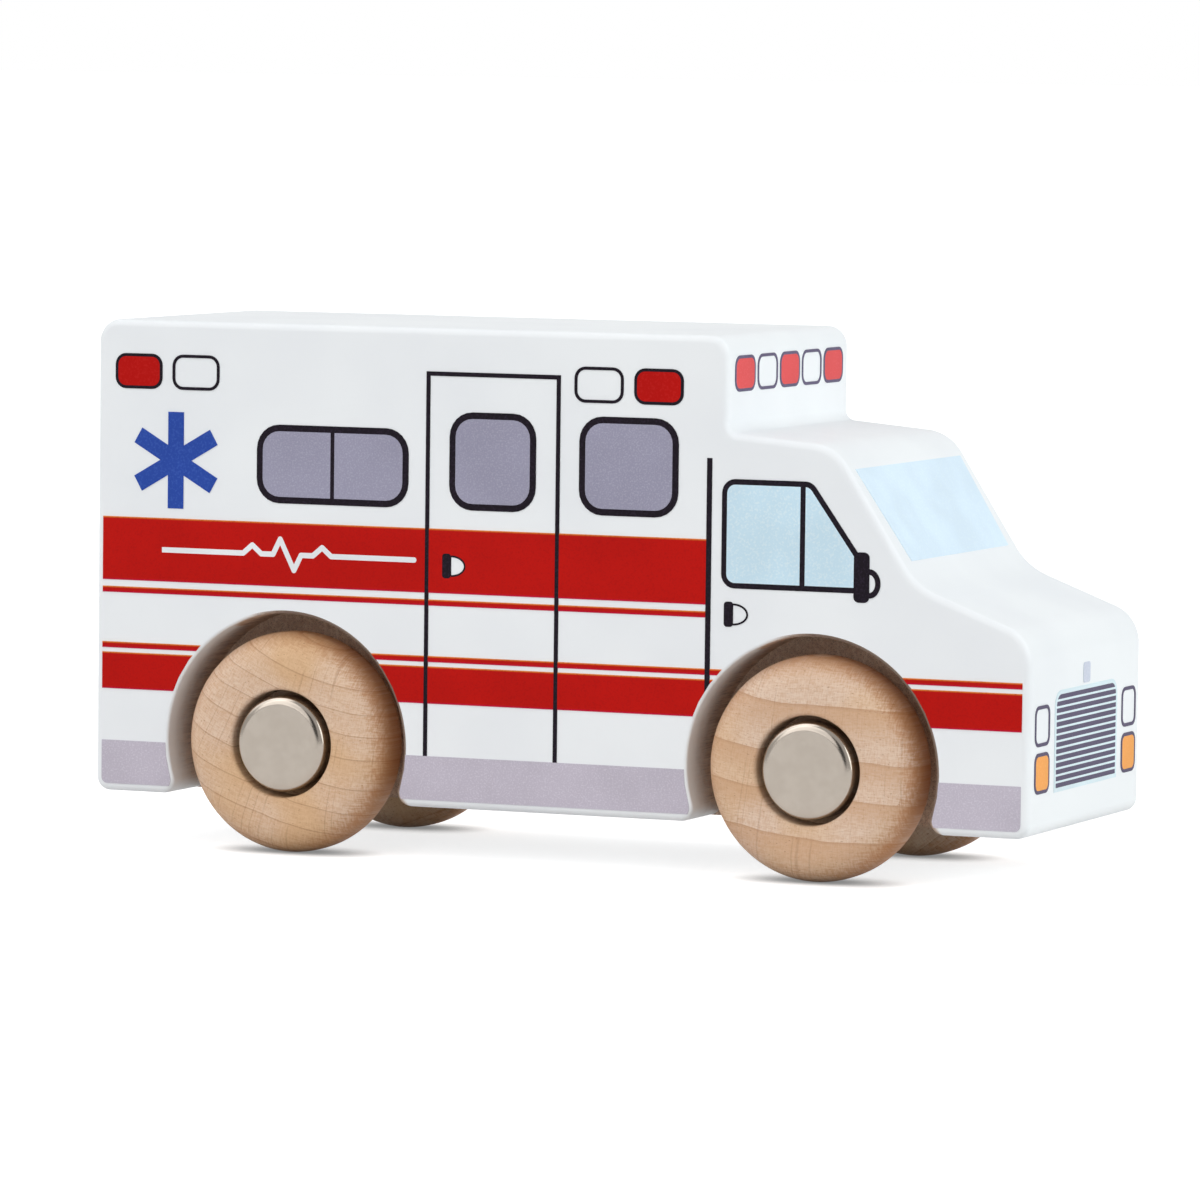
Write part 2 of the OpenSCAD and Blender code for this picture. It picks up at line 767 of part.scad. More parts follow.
// White pulse trace: a level line with one tall beat between two small ones
module side_pulse() {
    trace = concat(
        [[pulse_start_x, band_mid_z]],
        small_beat(pulse_mid_x - pulse_small_x),
        tall_beat(pulse_mid_x),
        small_beat(pulse_mid_x + pulse_small_x),
        [[pulse_end_x, band_mid_z]]
    );
    difference() {
        for (i = [1 : len(trace) - 1])
            stroke(trace[i - 1], trace[i], pulse_line);
        side_lines();
    }
}

module side_skirt() {
    difference() {
        band(rear_x, front_x, underside_z, skirt_z - underside_z);
        side_lines();
    }
}

module side_stripes() {
    difference() {
        union() {
            band(rear_x, front_x, lower_band_z, lower_band_h);
            band(rear_x, front_x, lower_pinstripe_z, pinstripe_h);
            band(rear_x, cab_x, upper_band_z, upper_band_h);
            band(rear_x, cab_x, upper_pinstripe_z, pinstripe_h);
        }
        side_lines();
        side_panes();
        side_star();
        side_pulse();
        side_skirt();
        handle_grip(side_handle_mid);
    }
}

module right_stripe_print() color("firebrick") on_right() side_stripes();
module right_skirt_print() color("darkgray") on_right() side_skirt();
module right_pane_print() color("gray") on_right() side_panes();
module right_cab_glass_print() color("lightblue") on_right() side_cab_glass();
module right_line_print() color("black") on_right() side_lines();
module right_lamp_print() color("red") on_right() side_red_lamps();
module right_star_print() color("royalblue") on_right() side_star();
module right_pulse_print() color("white") on_right() side_pulse();

module left_stripe_print() color("firebrick") on_left() side_stripes();
module left_skirt_print() color("darkgray") on_left() side_skirt();
module left_pane_print() color("gray") on_left() side_panes();
module left_cab_glass_print() color("lightblue") on_left() side_cab_glass();
module left_line_print() color("black") on_left() side_lines();
module left_lamp_print() color("red") on_left() side_red_lamps();
module left_star_print() color("royalblue") on_left() side_star();
module left_pulse_print() color("white") on_left() side_pulse();

// Pale blue windscreen on the sloping face of the cab
module windscreen_print() {
    color("powderblue")
        translate([foot_x, 0, foot_z])
            rotate([0, windscreen_slope, 0])
                rotate([0, 0, 90])
                    linear_extrude(film_t)
                        polygon([
                            [-windscreen_low_w, windscreen_low],
                            [windscreen_low_w, windscreen_low],
                            [windscreen_high_w, windscreen_high],
                            [-windscreen_high_w, windscreen_high]
                        ]);
}

function bar_lamp_mid(i) = [(i - (bar_lamps - 1) / 2) * bar_lamp_pitch, bar_z];

module light_bar_line_print() {
    color("black")
        on_light_bar()
            for (i = [0 : bar_lamps - 1])
                panel_line(bar_lamp_mid(i), bar_lamp_w, bar_lamp_h, lamp_r, lamp_line);
}

module light_bar_lamp_print() {
    color("red")
        on_light_bar()
            for (i = [0 : 2 : bar_lamps - 1])
                panel(bar_lamp_mid(i), bar_lamp_w, bar_lamp_h, lamp_r, lamp_line);
}

// Outline of the grille with its upper corners rounded off, widened by a margin
module grille_outline(margin) {
    w = grille_w + 2 * margin;
    h = grille_h + 2 * margin;
    r = grille_r + margin;
    intersection() {
        panel([0, grille_z - r], w, h + 2 * r, r);
        band(-w / 2, w / 2, grille_z - h / 2, h);
    }
}

module grille_bars_outline() {
    low_z = grille_z - grille_h / 2;
    intersection() {
        grille_outline(0);
        for (i = [0 : grille_bars - 1])
            band(-grille_w / 2, grille_w / 2, low_z + i * grille_pitch, grille_bar_h);
    }
}

module grille_print() color("dimgray") on_nose() grille_bars_outline();

module grille_backing_print() {
    color("lightblue")
        on_nose()
            difference() {
                grille_outline(grille_margin);
                grille_bars_outline();
            }
}

module plate_print() {
    color("lavender")
        on_nose()
            panel([0, grille_top_z + plate_gap + plate_h / 2], plate_w, plate_h, plate_r);
}

module headlamp_line_print() {
    color("dimgray")
        on_nose()
            for (side = [-1, 1], z = [headlamp_z, indicator_z])
                panel_line([side * headlamp_y, z], headlamp_w, headlamp_h, headlamp_r, headlamp_line);
}

module indicator_print() {
    color("orange")
        on_nose()
            for (side = [-1, 1])
                panel([side * headlamp_y, indicator_z], headlamp_w, headlamp_h, headlamp_r, headlamp_line);
}

// Black lines of the rear print: two doors with their windows, and the lamps above them
module rear_lines() {
    for (y = [-rear_doors_w / 2, 0, rear_doors_w / 2])
        bar(y, skirt_z, rear_door_top_z, door_line);
    band(-rear_doors_w / 2, rear_doors_w / 2, rear_door_top_z - door_line, door_line);
    for (side = [-1, 1]) {
        panel_line([side * rear_window_y, sill_z + tall_window_h / 2],
            rear_door_window_w, tall_window_h, window_r, window_line);
        panel_line([side * rear_lamp_y, lamp_z], lamp_w, lamp_h, lamp_r, lamp_line);
    }
}

module rear_line_print() color("black") on_rear() rear_lines();

module rear_pane_print() {
    color("gray")
        on_rear()
            for (side = [-1, 1])
                panel([side * rear_window_y, sill_z + tall_window_h / 2],
                    rear_door_window_w, tall_window_h, window_r, window_line);
}

module rear_lamp_print() {
    color("red")
        on_rear()
            for (side = [-1, 1])
                panel([side * rear_lamp_y, lamp_z], lamp_w, lamp_h, lamp_r, lamp_line);
}

module rear_skirt_print() {
    color("darkgray")
        on_rear()
            difference() {
                band(-side_y, side_y, underside_z, skirt_z - underside_z);
                rear_lines();
            }
}

module rear_stripe_print() {
    color("firebrick")
        on_rear()
            difference() {
                union() {
                    band(-side_y, side_y, lower_band_z, lower_band_h);
                    band(-side_y, side_y, lower_pinstripe_z, pinstripe_h);
                    band(-side_y, side_y, upper_band_z, upper_band_h);
                    band(-side_y, side_y, upper_pinstripe_z, pinstripe_h);
                }
                rear_lines();
            }
}

body_block();
axle_rod(front_axle_x);  // front_axle
axle_rod(rear_axle_x);  // rear_axle
wheel(front_axle_x, -1);  // front_right_wheel
wheel(front_axle_x, 1);  // front_left_wheel
wheel(rear_axle_x, -1);  // rear_right_wheel
wheel(rear_axle_x, 1);  // rear_left_wheel
cap(front_axle_x, -1);  // front_right_cap
cap(front_axle_x, 1);  // front_left_cap
cap(rear_axle_x, -1);  // rear_right_cap
cap(rear_axle_x, 1);  // rear_left_cap
right_stripe_print();
right_skirt_print();
right_pane_print();
right_cab_glass_print();
right_line_print();
right_lamp_print();
right_star_print();
right_pulse_print();
left_stripe_print();
left_skirt_print();
left_pane_print();
left_cab_glass_print();
left_line_print();
left_lamp_print();
left_star_print();
left_pulse_print();
windscreen_print();
light_bar_lamp_print();
light_bar_line_print();
grille_print();
grille_backing_print();
plate_print();
headlamp_line_print();
indicator_print();
rear_stripe_print();
rear_skirt_print();
rear_pane_print();
rear_line_print();
rear_lamp_print();
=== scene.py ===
import math

import bmesh
import bpy
from mathutils import Matrix, Vector


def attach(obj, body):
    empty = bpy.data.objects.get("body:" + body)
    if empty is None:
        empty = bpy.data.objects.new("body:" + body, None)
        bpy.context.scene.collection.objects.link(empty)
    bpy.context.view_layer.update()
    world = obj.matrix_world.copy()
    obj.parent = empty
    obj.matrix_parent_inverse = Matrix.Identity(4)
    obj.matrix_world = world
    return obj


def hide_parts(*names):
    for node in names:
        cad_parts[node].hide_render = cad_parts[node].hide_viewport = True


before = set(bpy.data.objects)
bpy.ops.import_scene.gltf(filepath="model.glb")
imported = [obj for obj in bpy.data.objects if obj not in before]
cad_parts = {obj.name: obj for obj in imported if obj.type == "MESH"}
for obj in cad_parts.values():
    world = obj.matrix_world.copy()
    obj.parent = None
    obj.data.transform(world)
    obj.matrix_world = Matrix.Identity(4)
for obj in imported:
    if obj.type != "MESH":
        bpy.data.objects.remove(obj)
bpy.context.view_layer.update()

MM = 0.001

# Block, in millimetres, with the values of the part's source
BODY_L = 130.0
BODY_W = 42.5
ROOF_Z = 68.9
UNDERSIDE_Z = 7.0
CAB_L = 41.1
CAB_ROOF_Z = 56.7
CAB_ROOF_FALL = math.radians(4.9)
WINDSCREEN_SLOPE = math.radians(57.3)
BONNET_L = 15.5
BONNET_FALL = math.radians(20.9)
NOSE_Z = 32.4
EDGE_R = 1.0
REAR_ROOF_R = 3.0
FRONT_ROOF_R = 2.6
STEP_R = 1.4
CAB_ROOF_R = 6.2
WINDSCREEN_FOOT_R = 9.0
NOSE_R = 5.1
UNDERSIDE_R = 1.8

# Wheel arches, wheels, axles and caps, in millimetres
ARCH_R = 16.9
ARCH_EDGE_R = 0.4
ARCH_DEPTH = 10.2
ARCH_FOOT_R = 1.8
AXLE_Z = 14.4
AXLE_R = 2.5
BORE_R = 2.58
FRONT_AXLE_X = 35.8
REAR_AXLE_X = -37.5
WHEEL_R = 14.4
WHEEL_FACE_Y = 22.45
WHEEL_T = 9.4
RIM_R = 4.0
RECESS_R = 7.0
RECESS_DEPTH = 5.0
RECESS_LIP_R = 0.5
BOSS_R = 5.5
BOSS_Y = 11.45
CAP_R = 6.3
CAP_H = 4.6
CAP_WALL = 0.7
CAP_EDGE_R = 1.2
CAP_FACE_Y = 22.95
COLLAR_R = 3.3

# Red bands of the side and rear print, in millimetres: lower and upper edge of each, the coloured fringe
# along an edge, and how far the ramp of colours runs past the outer edges
RED_BANDS = [(20.5, 25.3), (25.87, 26.65), (33.16, 33.94), (34.8, 43.1)]
FRINGE = 0.22
RAMP_MARGIN = 1.0

# Sprayed paint in an arch, which ends sooner towards the front wall: by what factor, from how far behind
# the axle (a share of the radius), how bare the mouth is there, and how far in its painted shade reaches
SPRAY_SHADOW = 40.0
SPRAY_REACH = 0.5
BARE_EDGE = 10.0
MOUTH_SHADE_REACH = 2.0

# How finely the visible shapes are divided
CORNER_STEPS = 14
FOOT_STEPS = 8
ARCH_STEPS = 72
ARCH_POINTS = 2 * FOOT_STEPS + ARCH_STEPS + 1
EDGE_STEPS = 8
BORE_STEPS = 48
TURNED_FACETS = 128
FILLET_STEPS = 14
LIP_STEPS = 5

# Points closer than this, in millimetres, become one, and edges sharper than these angles stay sharp
MERGE_REACH = 0.002
BLOCK_SHARP = math.radians(40)
TURNED_SHARP = math.radians(35)

# Camera, from the view that the photograph was taken from, in metres
CAMERA_PLACE = (0.381165, -0.906736, 0.10545)
CAMERA_RIGHT = (0.92065, 0.39023, 0.01163)
CAMERA_UP = (-0.03928, 0.06295, 0.99724)
CAMERA_BACK = (0.38842, -0.91856, 0.07328)
CAMERA_LENS = 226.99
CAMERA_SENSOR = 36.0
CAMERA_CLIP = (0.01, 200.0)

# Sky: its level as light and in mirrored rays, where 1 shows a white surface as white
SKY_LEVEL = 0.516
MIRROR_LEVEL = 0.8

# Two sides of the sky that metal mirrors: direction, level, and the cosines between which each fades in
DARK_SIDE = (0.13, -0.92, 0.37)
DARK_LEVEL = 0.1
DARK_SPREAD = (0.86, 0.95)
BRIGHT_SIDE = (-0.60, -0.10, 0.79)
BRIGHT_LEVEL = 1.3
BRIGHT_SPREAD = (0.80, 0.93)

# Lamps: level, the direction that the light comes from, the angle that it is spread over, and tint
LAMPS = {
    "key": (1.1, (-0.30, -0.80, 0.52), math.radians(56), (1.0, 1.0, 1.0)),
    "fill": (1.5, (0.93, 0.14, 0.32), math.radians(50), (0.95, 1.0, 1.0)),
    "top": (0.28, (-0.39, -0.08, 0.92), math.radians(40), (1.0, 1.0, 1.0)),
}

# Floor: its tone, the lift that seen rays get, its size in metres, and the painted shade close to the
# wheels, with its reach in millimetres
FLOOR_TONE = 0.70
FLOOR_LIFT = 0.74
FLOOR_SIZE = 40.0
CONTACT_REACH = 5.0
CONTACT_SHADE = 0.7


def linear(level):
    """One channel of a screen colour, 0 to 255, as linear light, by the standard screen curve."""
    share = level / 255
    if share <= 0.04045:
        return share / 12.92
    return ((share + 0.055) / 1.055) ** 2.4


def screen(red, green, blue):
    """Screen colour, 0 to 255 a channel, as a linear one."""
    return (linear(red), linear(green), linear(blue), 1.0)


# The span that most of a noise lies in
NOISE_SPAN = (0.3, 0.7)

# Relief of each finish: strength, and reach in millimetres
INK_BUMP = (0.05, 0.05)
PAINT_BUMP = (0.10, 0.08)
BEECH_BUMP = (0.12, 0.06)
STEEL_BUMP = (0.25, 0.02)

# Sheen, and the least and most roughness
INK_SHEEN = 0.06
PAINT_SHEEN = 0.4
BEECH_SHEEN = 0.3
INK_ROUGHNESS = (0.36, 0.48)
PAINT_ROUGHNESS = (0.40, 0.48)
BEECH_ROUGHNESS = (0.52, 0.66)

# Ink: the noise that turns into flecks, and the drift of its tone
FLECK_SPAN = (0.45, 0.75)
DRIFT_SCALE = 0.11
DRIFT_TONES = (0.96, 1.04)

# Paint and the bare wood of the arches: spacing of the fibre in millimetres, scales per millimetre
ARCH_FIBRE = (0.55, 14.0, 0.55)
BLOCK_FIBRE = (26.0, 1.1, 1.1)
FINE_FIBRE = 4.3
RAGGED_SCALE = 0.9
RAGGED_DEPTHS = (-0.4, 0.4)
THINNING_DEPTHS = (1.2, 9.0)
DARK_FIBRE_SPAN = (0.45, 0.7)
DARK_FIBRE_SHARE = 0.6
# Share of the painted shade at the mouth of an arch
MOUTH_SHADE_SHARE = 0.85
CLOUD_SCALE = 0.05
PEEL_SCALE = 2.2
BARE_DULLNESS = 0.35
PAINT_TONES = (screen(237, 240, 243), screen(242, 245, 247))
BARE_TONES = (screen(206, 176, 154), screen(228, 203, 182))
DARK_FIBRE = screen(138, 112, 97)
# Colour of the painted shade at the mouth of an arch
MOUTH_PAINTED_SHADE = screen(92, 75, 67)

# Sawn beech: scales per millimetre, the spans of noise or of a ring that marks are cut from, and how far
# the noise is drawn out (with its scale, for the two noises of the weave)
RING_SWAY_SCALE = 0.07
RING_DRIFT_SCALE = 0.37
BAND_SHARE = 0.85
LINE_SHARE = 0.08
RAY_SCALE = 0.42
RAY_STRETCH = 0.006
RAY_WIDTH = 0.012
RAY_PATCH_SCALE = 0.16
RAY_PATCH_SPAN = (0.36, 0.58)
WEAVE_OUTWARDS = (5.0, 1.1)
WEAVE_SIDEWAYS = (6.0, 0.9)
WEAVE_SHIFT = 3.0
WEAVE_SPAN = (0.7, 1.3)
WARM_WEAVE = (0.75, 1.30, 0.0, 0.55)
PORE_SCALE = 2.3
PORE_STRETCH = 2.6
DARK_PORES = (0.63, 0.78, 0.0, 0.55)
TINT_SCALE = 0.09
TINT_DRIFT = (0.35, 0.65, -0.4, 0.4)
ROSY_BEECH = screen(229, 204, 183)
HONEY_BEECH = screen(222, 185, 143)
WARM_BEECH = screen(202, 157, 119)
DARK_BEECH = screen(150, 98, 62)

# Painted arch shade on a wheel's rim: its colour and share, where it begins, and how it fades towards the
# rear
RIM_SHADE_BEECH = screen(178, 112, 58)
RIM_SHADE_SHARE = 0.65
RIM_SHADE_START = WHEEL_R - 0.6 * RIM_R
RIM_SHADE_RAGGED = (-0.5, 0.5)
RIM_SHADE_FADE = (-0.3 * WHEEL_R, 0.8 * WHEEL_R, 0.35, 1.0)

# Steel: scratches drawn out upright and level, and clouds; then each metal's two tones, least and most
# roughness, and depth of scratches
UPRIGHT_MARKS = (9.0, 1.0, 0.7)
LEVEL_MARKS = (0.6, 1.0, 8.0)
STEEL_CLOUD_SCALE = 0.45
CAP_STEEL = (screen(166, 157, 147), screen(162, 153, 143), (0.15, 0.20), 0.35)
ROD_STEEL = (screen(180, 178, 172), screen(160, 156, 150), (0.3, 0.45), 0.8)


class Graph:
    """Adds nodes to one node tree and wires them up."""

    def __init__(self, tree):
        self.tree = tree

    def add(self, kind, **settings):
        node = self.tree.nodes.new(kind)
        for name, value in settings.items():
            setattr(node, name, value)
        return node

    def feed(self, socket, value):
        if isinstance(value, bpy.types.NodeSocket):
            self.tree.links.new(value, socket)
        else:
            socket.default_value = value

    def math(self, operation, first, second=0.0, clamp=False):
        node = self.add("ShaderNodeMath", operation=operation, use_clamp=clamp)
        self.feed(node.inputs[0], first)
        self.feed(node.inputs[1], second)
        return node.outputs[0]

    def vector(self, operation, first, second=(0.0, 0.0, 0.0)):
        node = self.add("ShaderNodeVectorMath", operation=operation)
        self.feed(node.inputs[0], first)
        self.feed(node.inputs[1], second)
        return node.outputs["Value" if operation in ("LENGTH", "DOT_PRODUCT") else "Vector"]

    def split(self, place):
        node = self.add("ShaderNodeSeparateXYZ")
        self.feed(node.inputs[0], place)
        return node.outputs

    def join(self, x, y, z):
        node = self.add("ShaderNodeCombineXYZ")
        for socket, value in zip(node.inputs, (x, y, z)):
            self.feed(socket, value)
        return node.outputs[0]

    def remap(self, value, low, high, to_low=0.0, to_high=1.0):
        node = self.add("ShaderNodeMapRange", interpolation_type="SMOOTHSTEP")
        for socket, setting in zip(node.inputs, (value, low, high, to_low, to_high)):
            self.feed(socket, setting)
        return node.outputs[0]

    def spread(self, noise, low=0.0, high=1.0):
        """Most of a noise, brought to another span."""
        return self.remap(noise, *NOISE_SPAN, low, high)

    def mix(self, factor, first, second, blend="MIX"):
        node = self.add("ShaderNodeMix", data_type="RGBA", blend_type=blend)
        self.feed(node.inputs[0], factor)
        self.feed(node.inputs[6], first)
        self.feed(node.inputs[7], second)
        return node.outputs[2]

    def noise(self, place, scale, detail=2.0, roughness=0.5):
        node = self.add("ShaderNodeTexNoise")
        self.feed(node.inputs["Vector"], place)
        self.feed(node.inputs["Scale"], scale)
        node.inputs["Detail"].default_value = detail
        node.inputs["Roughness"].default_value = roughness
        return node.outputs[0]

    def ramp(self, factor, stops):
        node = self.add("ShaderNodeValToRGB")
        self.feed(node.inputs[0], factor)
        elements = node.color_ramp.elements
        elements[0].position, elements[0].color = stops[0]
        elements[1].position, elements[1].color = stops[-1]
        for position, colour in stops[1:-1]:
            elements.new(position).color = colour
        return node.outputs[0]

    def place_mm(self, centre=(0.0, 0.0, 0.0)):
        """Object coordinates in millimetres, measured from a point."""
        source = self.add("ShaderNodeTexCoord")
        mapping = self.add("ShaderNodeMapping")
        self.feed(mapping.inputs["Vector"], source.outputs["Object"])
        mapping.inputs["Location"].default_value = [-value for value in centre]
        mapping.inputs["Scale"].default_value = (1 / MM, 1 / MM, 1 / MM)
        return mapping.outputs[0]

    def attribute(self, name):
        return self.add("ShaderNodeAttribute", attribute_name=name).outputs["Fac"]

    def group(self, tree, **values):
        """Adds a node group and feeds its sockets; an underscore in a name stands for a space."""
        node = self.add("ShaderNodeGroup", node_tree=tree)
        for name, value in values.items():
            self.feed(node.inputs[name.replace("_", " ")], value)
        return node.outputs

    def finish_surface(self, colour, roughness, height, bump, bump_reach, **fixed):
        """Principled surface with a relief; fixed values go straight onto its sockets."""
        shader = self.add("ShaderNodeBsdfPrincipled")
        output = self.add("ShaderNodeOutputMaterial")
        relief = self.add("ShaderNodeBump")
        self.feed(shader.inputs["Base Color"], colour)
        self.feed(shader.inputs["Roughness"], roughness)
        for name, value in fixed.items():
            shader.inputs[name.replace("_", " ")].default_value = value
        relief.inputs["Strength"].default_value = bump
        relief.inputs["Distance"].default_value = bump_reach * MM
        self.feed(relief.inputs["Height"], height)
        self.feed(shader.inputs["Normal"], relief.outputs[0])
        self.feed(output.inputs["Surface"], shader.outputs[0])


def new_group(name, inputs, outputs, kind="ShaderNodeTree"):
    """Node group with named sockets; returns its graph, what it is given and what it has to fill."""
    tree = bpy.data.node_groups.new(name, kind)
    for in_out, sockets in (("INPUT", inputs), ("OUTPUT", outputs)):
        for label, socket in sockets:
            tree.interface.new_socket(label, in_out=in_out, socket_type="NodeSocket" + socket)
    graph = Graph(tree)
    source = graph.add("NodeGroupInput")
    result = graph.add("NodeGroupOutput")
    return graph, source.outputs, result.inputs


def in_scene(name, data):
    """New object in the scene."""
    made = bpy.data.objects.new(name, data)
    bpy.context.scene.collection.objects.link(made)
    return made


def new_material(name):
    material = bpy.data.materials.new(name)
    material.use_nodes = True
    material.node_tree.nodes.clear()
    return material, Graph(material.node_tree)


def make_print_ink():
    """Transferred ink: fine flecks where the screen lets the base through, and a faint drift of tone."""
    graph, given, result = new_group(
        "print_ink",
        [("Place", "Vector"), ("Ink", "Color"), ("Fleck", "Color"), ("Fleck Scale", "Float"),
         ("Fleck Share", "Float")],
        [("Colour", "Color"), ("Roughness", "Float"), ("Height", "Float")],
    )
    grain = graph.noise(given["Place"], given["Fleck Scale"], detail=1.0)
    flecks = graph.math("MULTIPLY", graph.remap(grain, *FLECK_SPAN), given["Fleck Share"])
    flecked = graph.mix(flecks, given["Ink"], given["Fleck"])
    tone = graph.spread(graph.noise(given["Place"], DRIFT_SCALE), *DRIFT_TONES)
    graph.feed(result["Colour"], graph.mix(1.0, flecked, graph.join(tone, tone, tone), "MULTIPLY"))
    graph.feed(result["Roughness"], graph.spread(grain, *INK_ROUGHNESS))
    graph.feed(result["Height"], grain)
    return graph.tree


def make_fibre_streaks():
    """Streaks of wood fibre: quick change across the fibre and slow change along it."""
    graph, given, result = new_group(
        "fibre_streaks",
        [("Place", "Vector"), ("Spacing", "Vector")],
        [("Coarse", "Float"), ("Fine", "Float")],
    )
    stretched = graph.vector("DIVIDE", given["Place"], given["Spacing"])
    graph.feed(result["Coarse"], graph.noise(stretched, 1.0, detail=3.0, roughness=0.6))
    graph.feed(result["Fine"], graph.noise(stretched, FINE_FIBRE, roughness=0.6))
    return graph.tree


def growth_rings(graph, given, flat):
    """Distance from the pith, and the bands and lines of the growth rings there."""
    sway = graph.math("SUBTRACT", graph.noise(flat, RING_SWAY_SCALE), 0.5)
    reach = graph.math("ADD", graph.vector("LENGTH", flat), graph.math("MULTIPLY", sway, given["Wobble"]))
    turns = graph.math("DIVIDE", reach, given["Ring Spacing"])
    drift = graph.noise(graph.join(0.0, turns, 0.0), RING_DRIFT_SCALE, detail=0.0)
    phase = graph.math("FRACT", graph.math("ADD", turns, drift))
    band = graph.math("MULTIPLY", graph.remap(phase, 0.0, BAND_SHARE, 1.0, 0.0), given["Band"])
    line = graph.math("MULTIPLY", graph.remap(phase, 0.0, LINE_SHARE, 1.0, 0.0), given["Line"])
    return reach, band, line


def wood_rays(graph, given, flat, across, reach):
    """Thin dark rays that run out from the pith and come and go."""
    along = graph.math("MULTIPLY", reach, RAY_STRETCH)
    noise = graph.noise(graph.join(across, along, 0.0), RAY_SCALE, detail=1.0, roughness=0.4)
    gap = graph.math("ABSOLUTE", graph.math("SUBTRACT", noise, 0.5))
    ray = graph.math("MULTIPLY", graph.remap(gap, 0.0, RAY_WIDTH, 1.0, 0.0), given["Rays"])
    patch = graph.noise(flat, RAY_PATCH_SCALE, detail=1.0)
    return graph.math("MULTIPLY", ray, graph.remap(patch, *RAY_PATCH_SPAN))


def fibre_weave(graph, across, reach):
    """Weave of cut fibres: one noise drawn out along the rays, and another across them."""
    stretch, scale = WEAVE_OUTWARDS
    outwards = graph.join(graph.math("MULTIPLY", across, stretch), reach, 0.0)
    first = graph.noise(outwards, scale, roughness=0.6)
    stretch, scale = WEAVE_SIDEWAYS
    sideways = graph.join(across, graph.math("MULTIPLY", reach, stretch), WEAVE_SHIFT)
    return graph.math("ADD", first, graph.noise(sideways, scale, roughness=0.6))


def rim_painted_shade(graph, place, weave):
    """Share of painted arch shade on the rim, ragged with the weave and strongest towards the front."""
    radius = graph.vector("LENGTH", graph.vector("MULTIPLY", place, (1.0, 0.0, 1.0)))
    ragged = graph.math("ADD", radius, graph.remap(weave, *WEAVE_SPAN, *RIM_SHADE_RAGGED))
    shaded = graph.remap(ragged, RIM_SHADE_START, WHEEL_R, 0.0, RIM_SHADE_SHARE)
    return graph.math("MULTIPLY", shaded, graph.remap(graph.split(place)[0], *RIM_SHADE_FADE))


def make_end_grain():
    """Sawn end grain: growth rings about a far pith, crossed by rays that run out from it."""
    graph, given, result = new_group(
        "end_grain",
        [("Place", "Vector"), ("Pith", "Vector"), ("Ring Spacing", "Float"), ("Wobble", "Float"),
         ("Band", "Float"), ("Line", "Float"), ("Rays", "Float"), ("Honey", "Float")],
        [("Colour", "Color"), ("Roughness", "Float"), ("Height", "Float")],
    )
    x, _, z = graph.split(graph.vector("SUBTRACT", given["Place"], given["Pith"]))
    flat = graph.join(x, 0.0, z)
    reach, band, line = growth_rings(graph, given, flat)
    across = graph.math("MULTIPLY", graph.math("ARCTAN2", x, z), graph.vector("LENGTH", given["Pith"]))
    ray = wood_rays(graph, given, flat, across, reach)
    weave = fibre_weave(graph, across, reach)
    drawn_out = graph.join(across, graph.math("MULTIPLY", reach, PORE_STRETCH), 0.0)
    pores = graph.noise(drawn_out, PORE_SCALE, detail=1.0)
    patch = graph.noise(flat, TINT_SCALE, detail=1.0)
    tint = graph.math("ADD", graph.remap(patch, *TINT_DRIFT), given["Honey"], clamp=True)
    colour = graph.mix(tint, ROSY_BEECH, HONEY_BEECH)
    for share, tone in (
        (band, WARM_BEECH),
        (graph.remap(weave, *WARM_WEAVE), WARM_BEECH),
        (line, DARK_BEECH),
        (ray, DARK_BEECH),
        (graph.remap(pores, *DARK_PORES), DARK_BEECH),
        # painted shade of the arch on the rim
        (rim_painted_shade(graph, given["Place"], weave), RIM_SHADE_BEECH),
    ):
        colour = graph.mix(share, colour, tone)
    graph.feed(result["Colour"], colour)
    graph.feed(result["Roughness"], graph.remap(weave, *WEAVE_SPAN, *BEECH_ROUGHNESS))
    graph.feed(result["Height"], graph.math("SUBTRACT", weave, graph.math("ADD", ray, line)))
    return graph.tree


def make_fine_scratches():
    """Faint handling marks on bare metal."""
    graph, given, result = new_group(
        "fine_scratches",
        [("Place", "Vector"), ("Depth", "Float")],
        [("Mark", "Float"), ("Cloud", "Float")],
    )
    upright = graph.noise(graph.vector("MULTIPLY", given["Place"], UPRIGHT_MARKS), 1.0)
    level = graph.noise(graph.vector("MULTIPLY", given["Place"], LEVEL_MARKS), 1.0)
    marks = graph.math("MULTIPLY", graph.math("MAXIMUM", upright, level), given["Depth"])
    graph.feed(result["Mark"], marks)
    graph.feed(result["Cloud"], graph.noise(given["Place"], STEEL_CLOUD_SCALE, detail=3.0, roughness=0.6))
    return graph.tree


PRINT_INK = make_print_ink()
FIBRE_STREAKS = make_fibre_streaks()
END_GRAIN = make_end_grain()
FINE_SCRATCHES = make_fine_scratches()


def ink_surface(graph, place, ink, fleck, fleck_scale, fleck_share):
    """Finishes a material as printed ink."""
    made = graph.group(PRINT_INK, Place=place, Ink=ink, Fleck=fleck, Fleck_Scale=fleck_scale,
                       Fleck_Share=fleck_share)
    graph.finish_surface(made["Colour"], made["Roughness"], made["Height"], *INK_BUMP,
                         Specular_IOR_Level=INK_SHEEN)


def ink_material(name, ink, fleck, fleck_scale, fleck_share):
    material, graph = new_material(name)
    ink_surface(graph, graph.place_mm(), screen(*ink), screen(*fleck), fleck_scale, fleck_share)
    return material


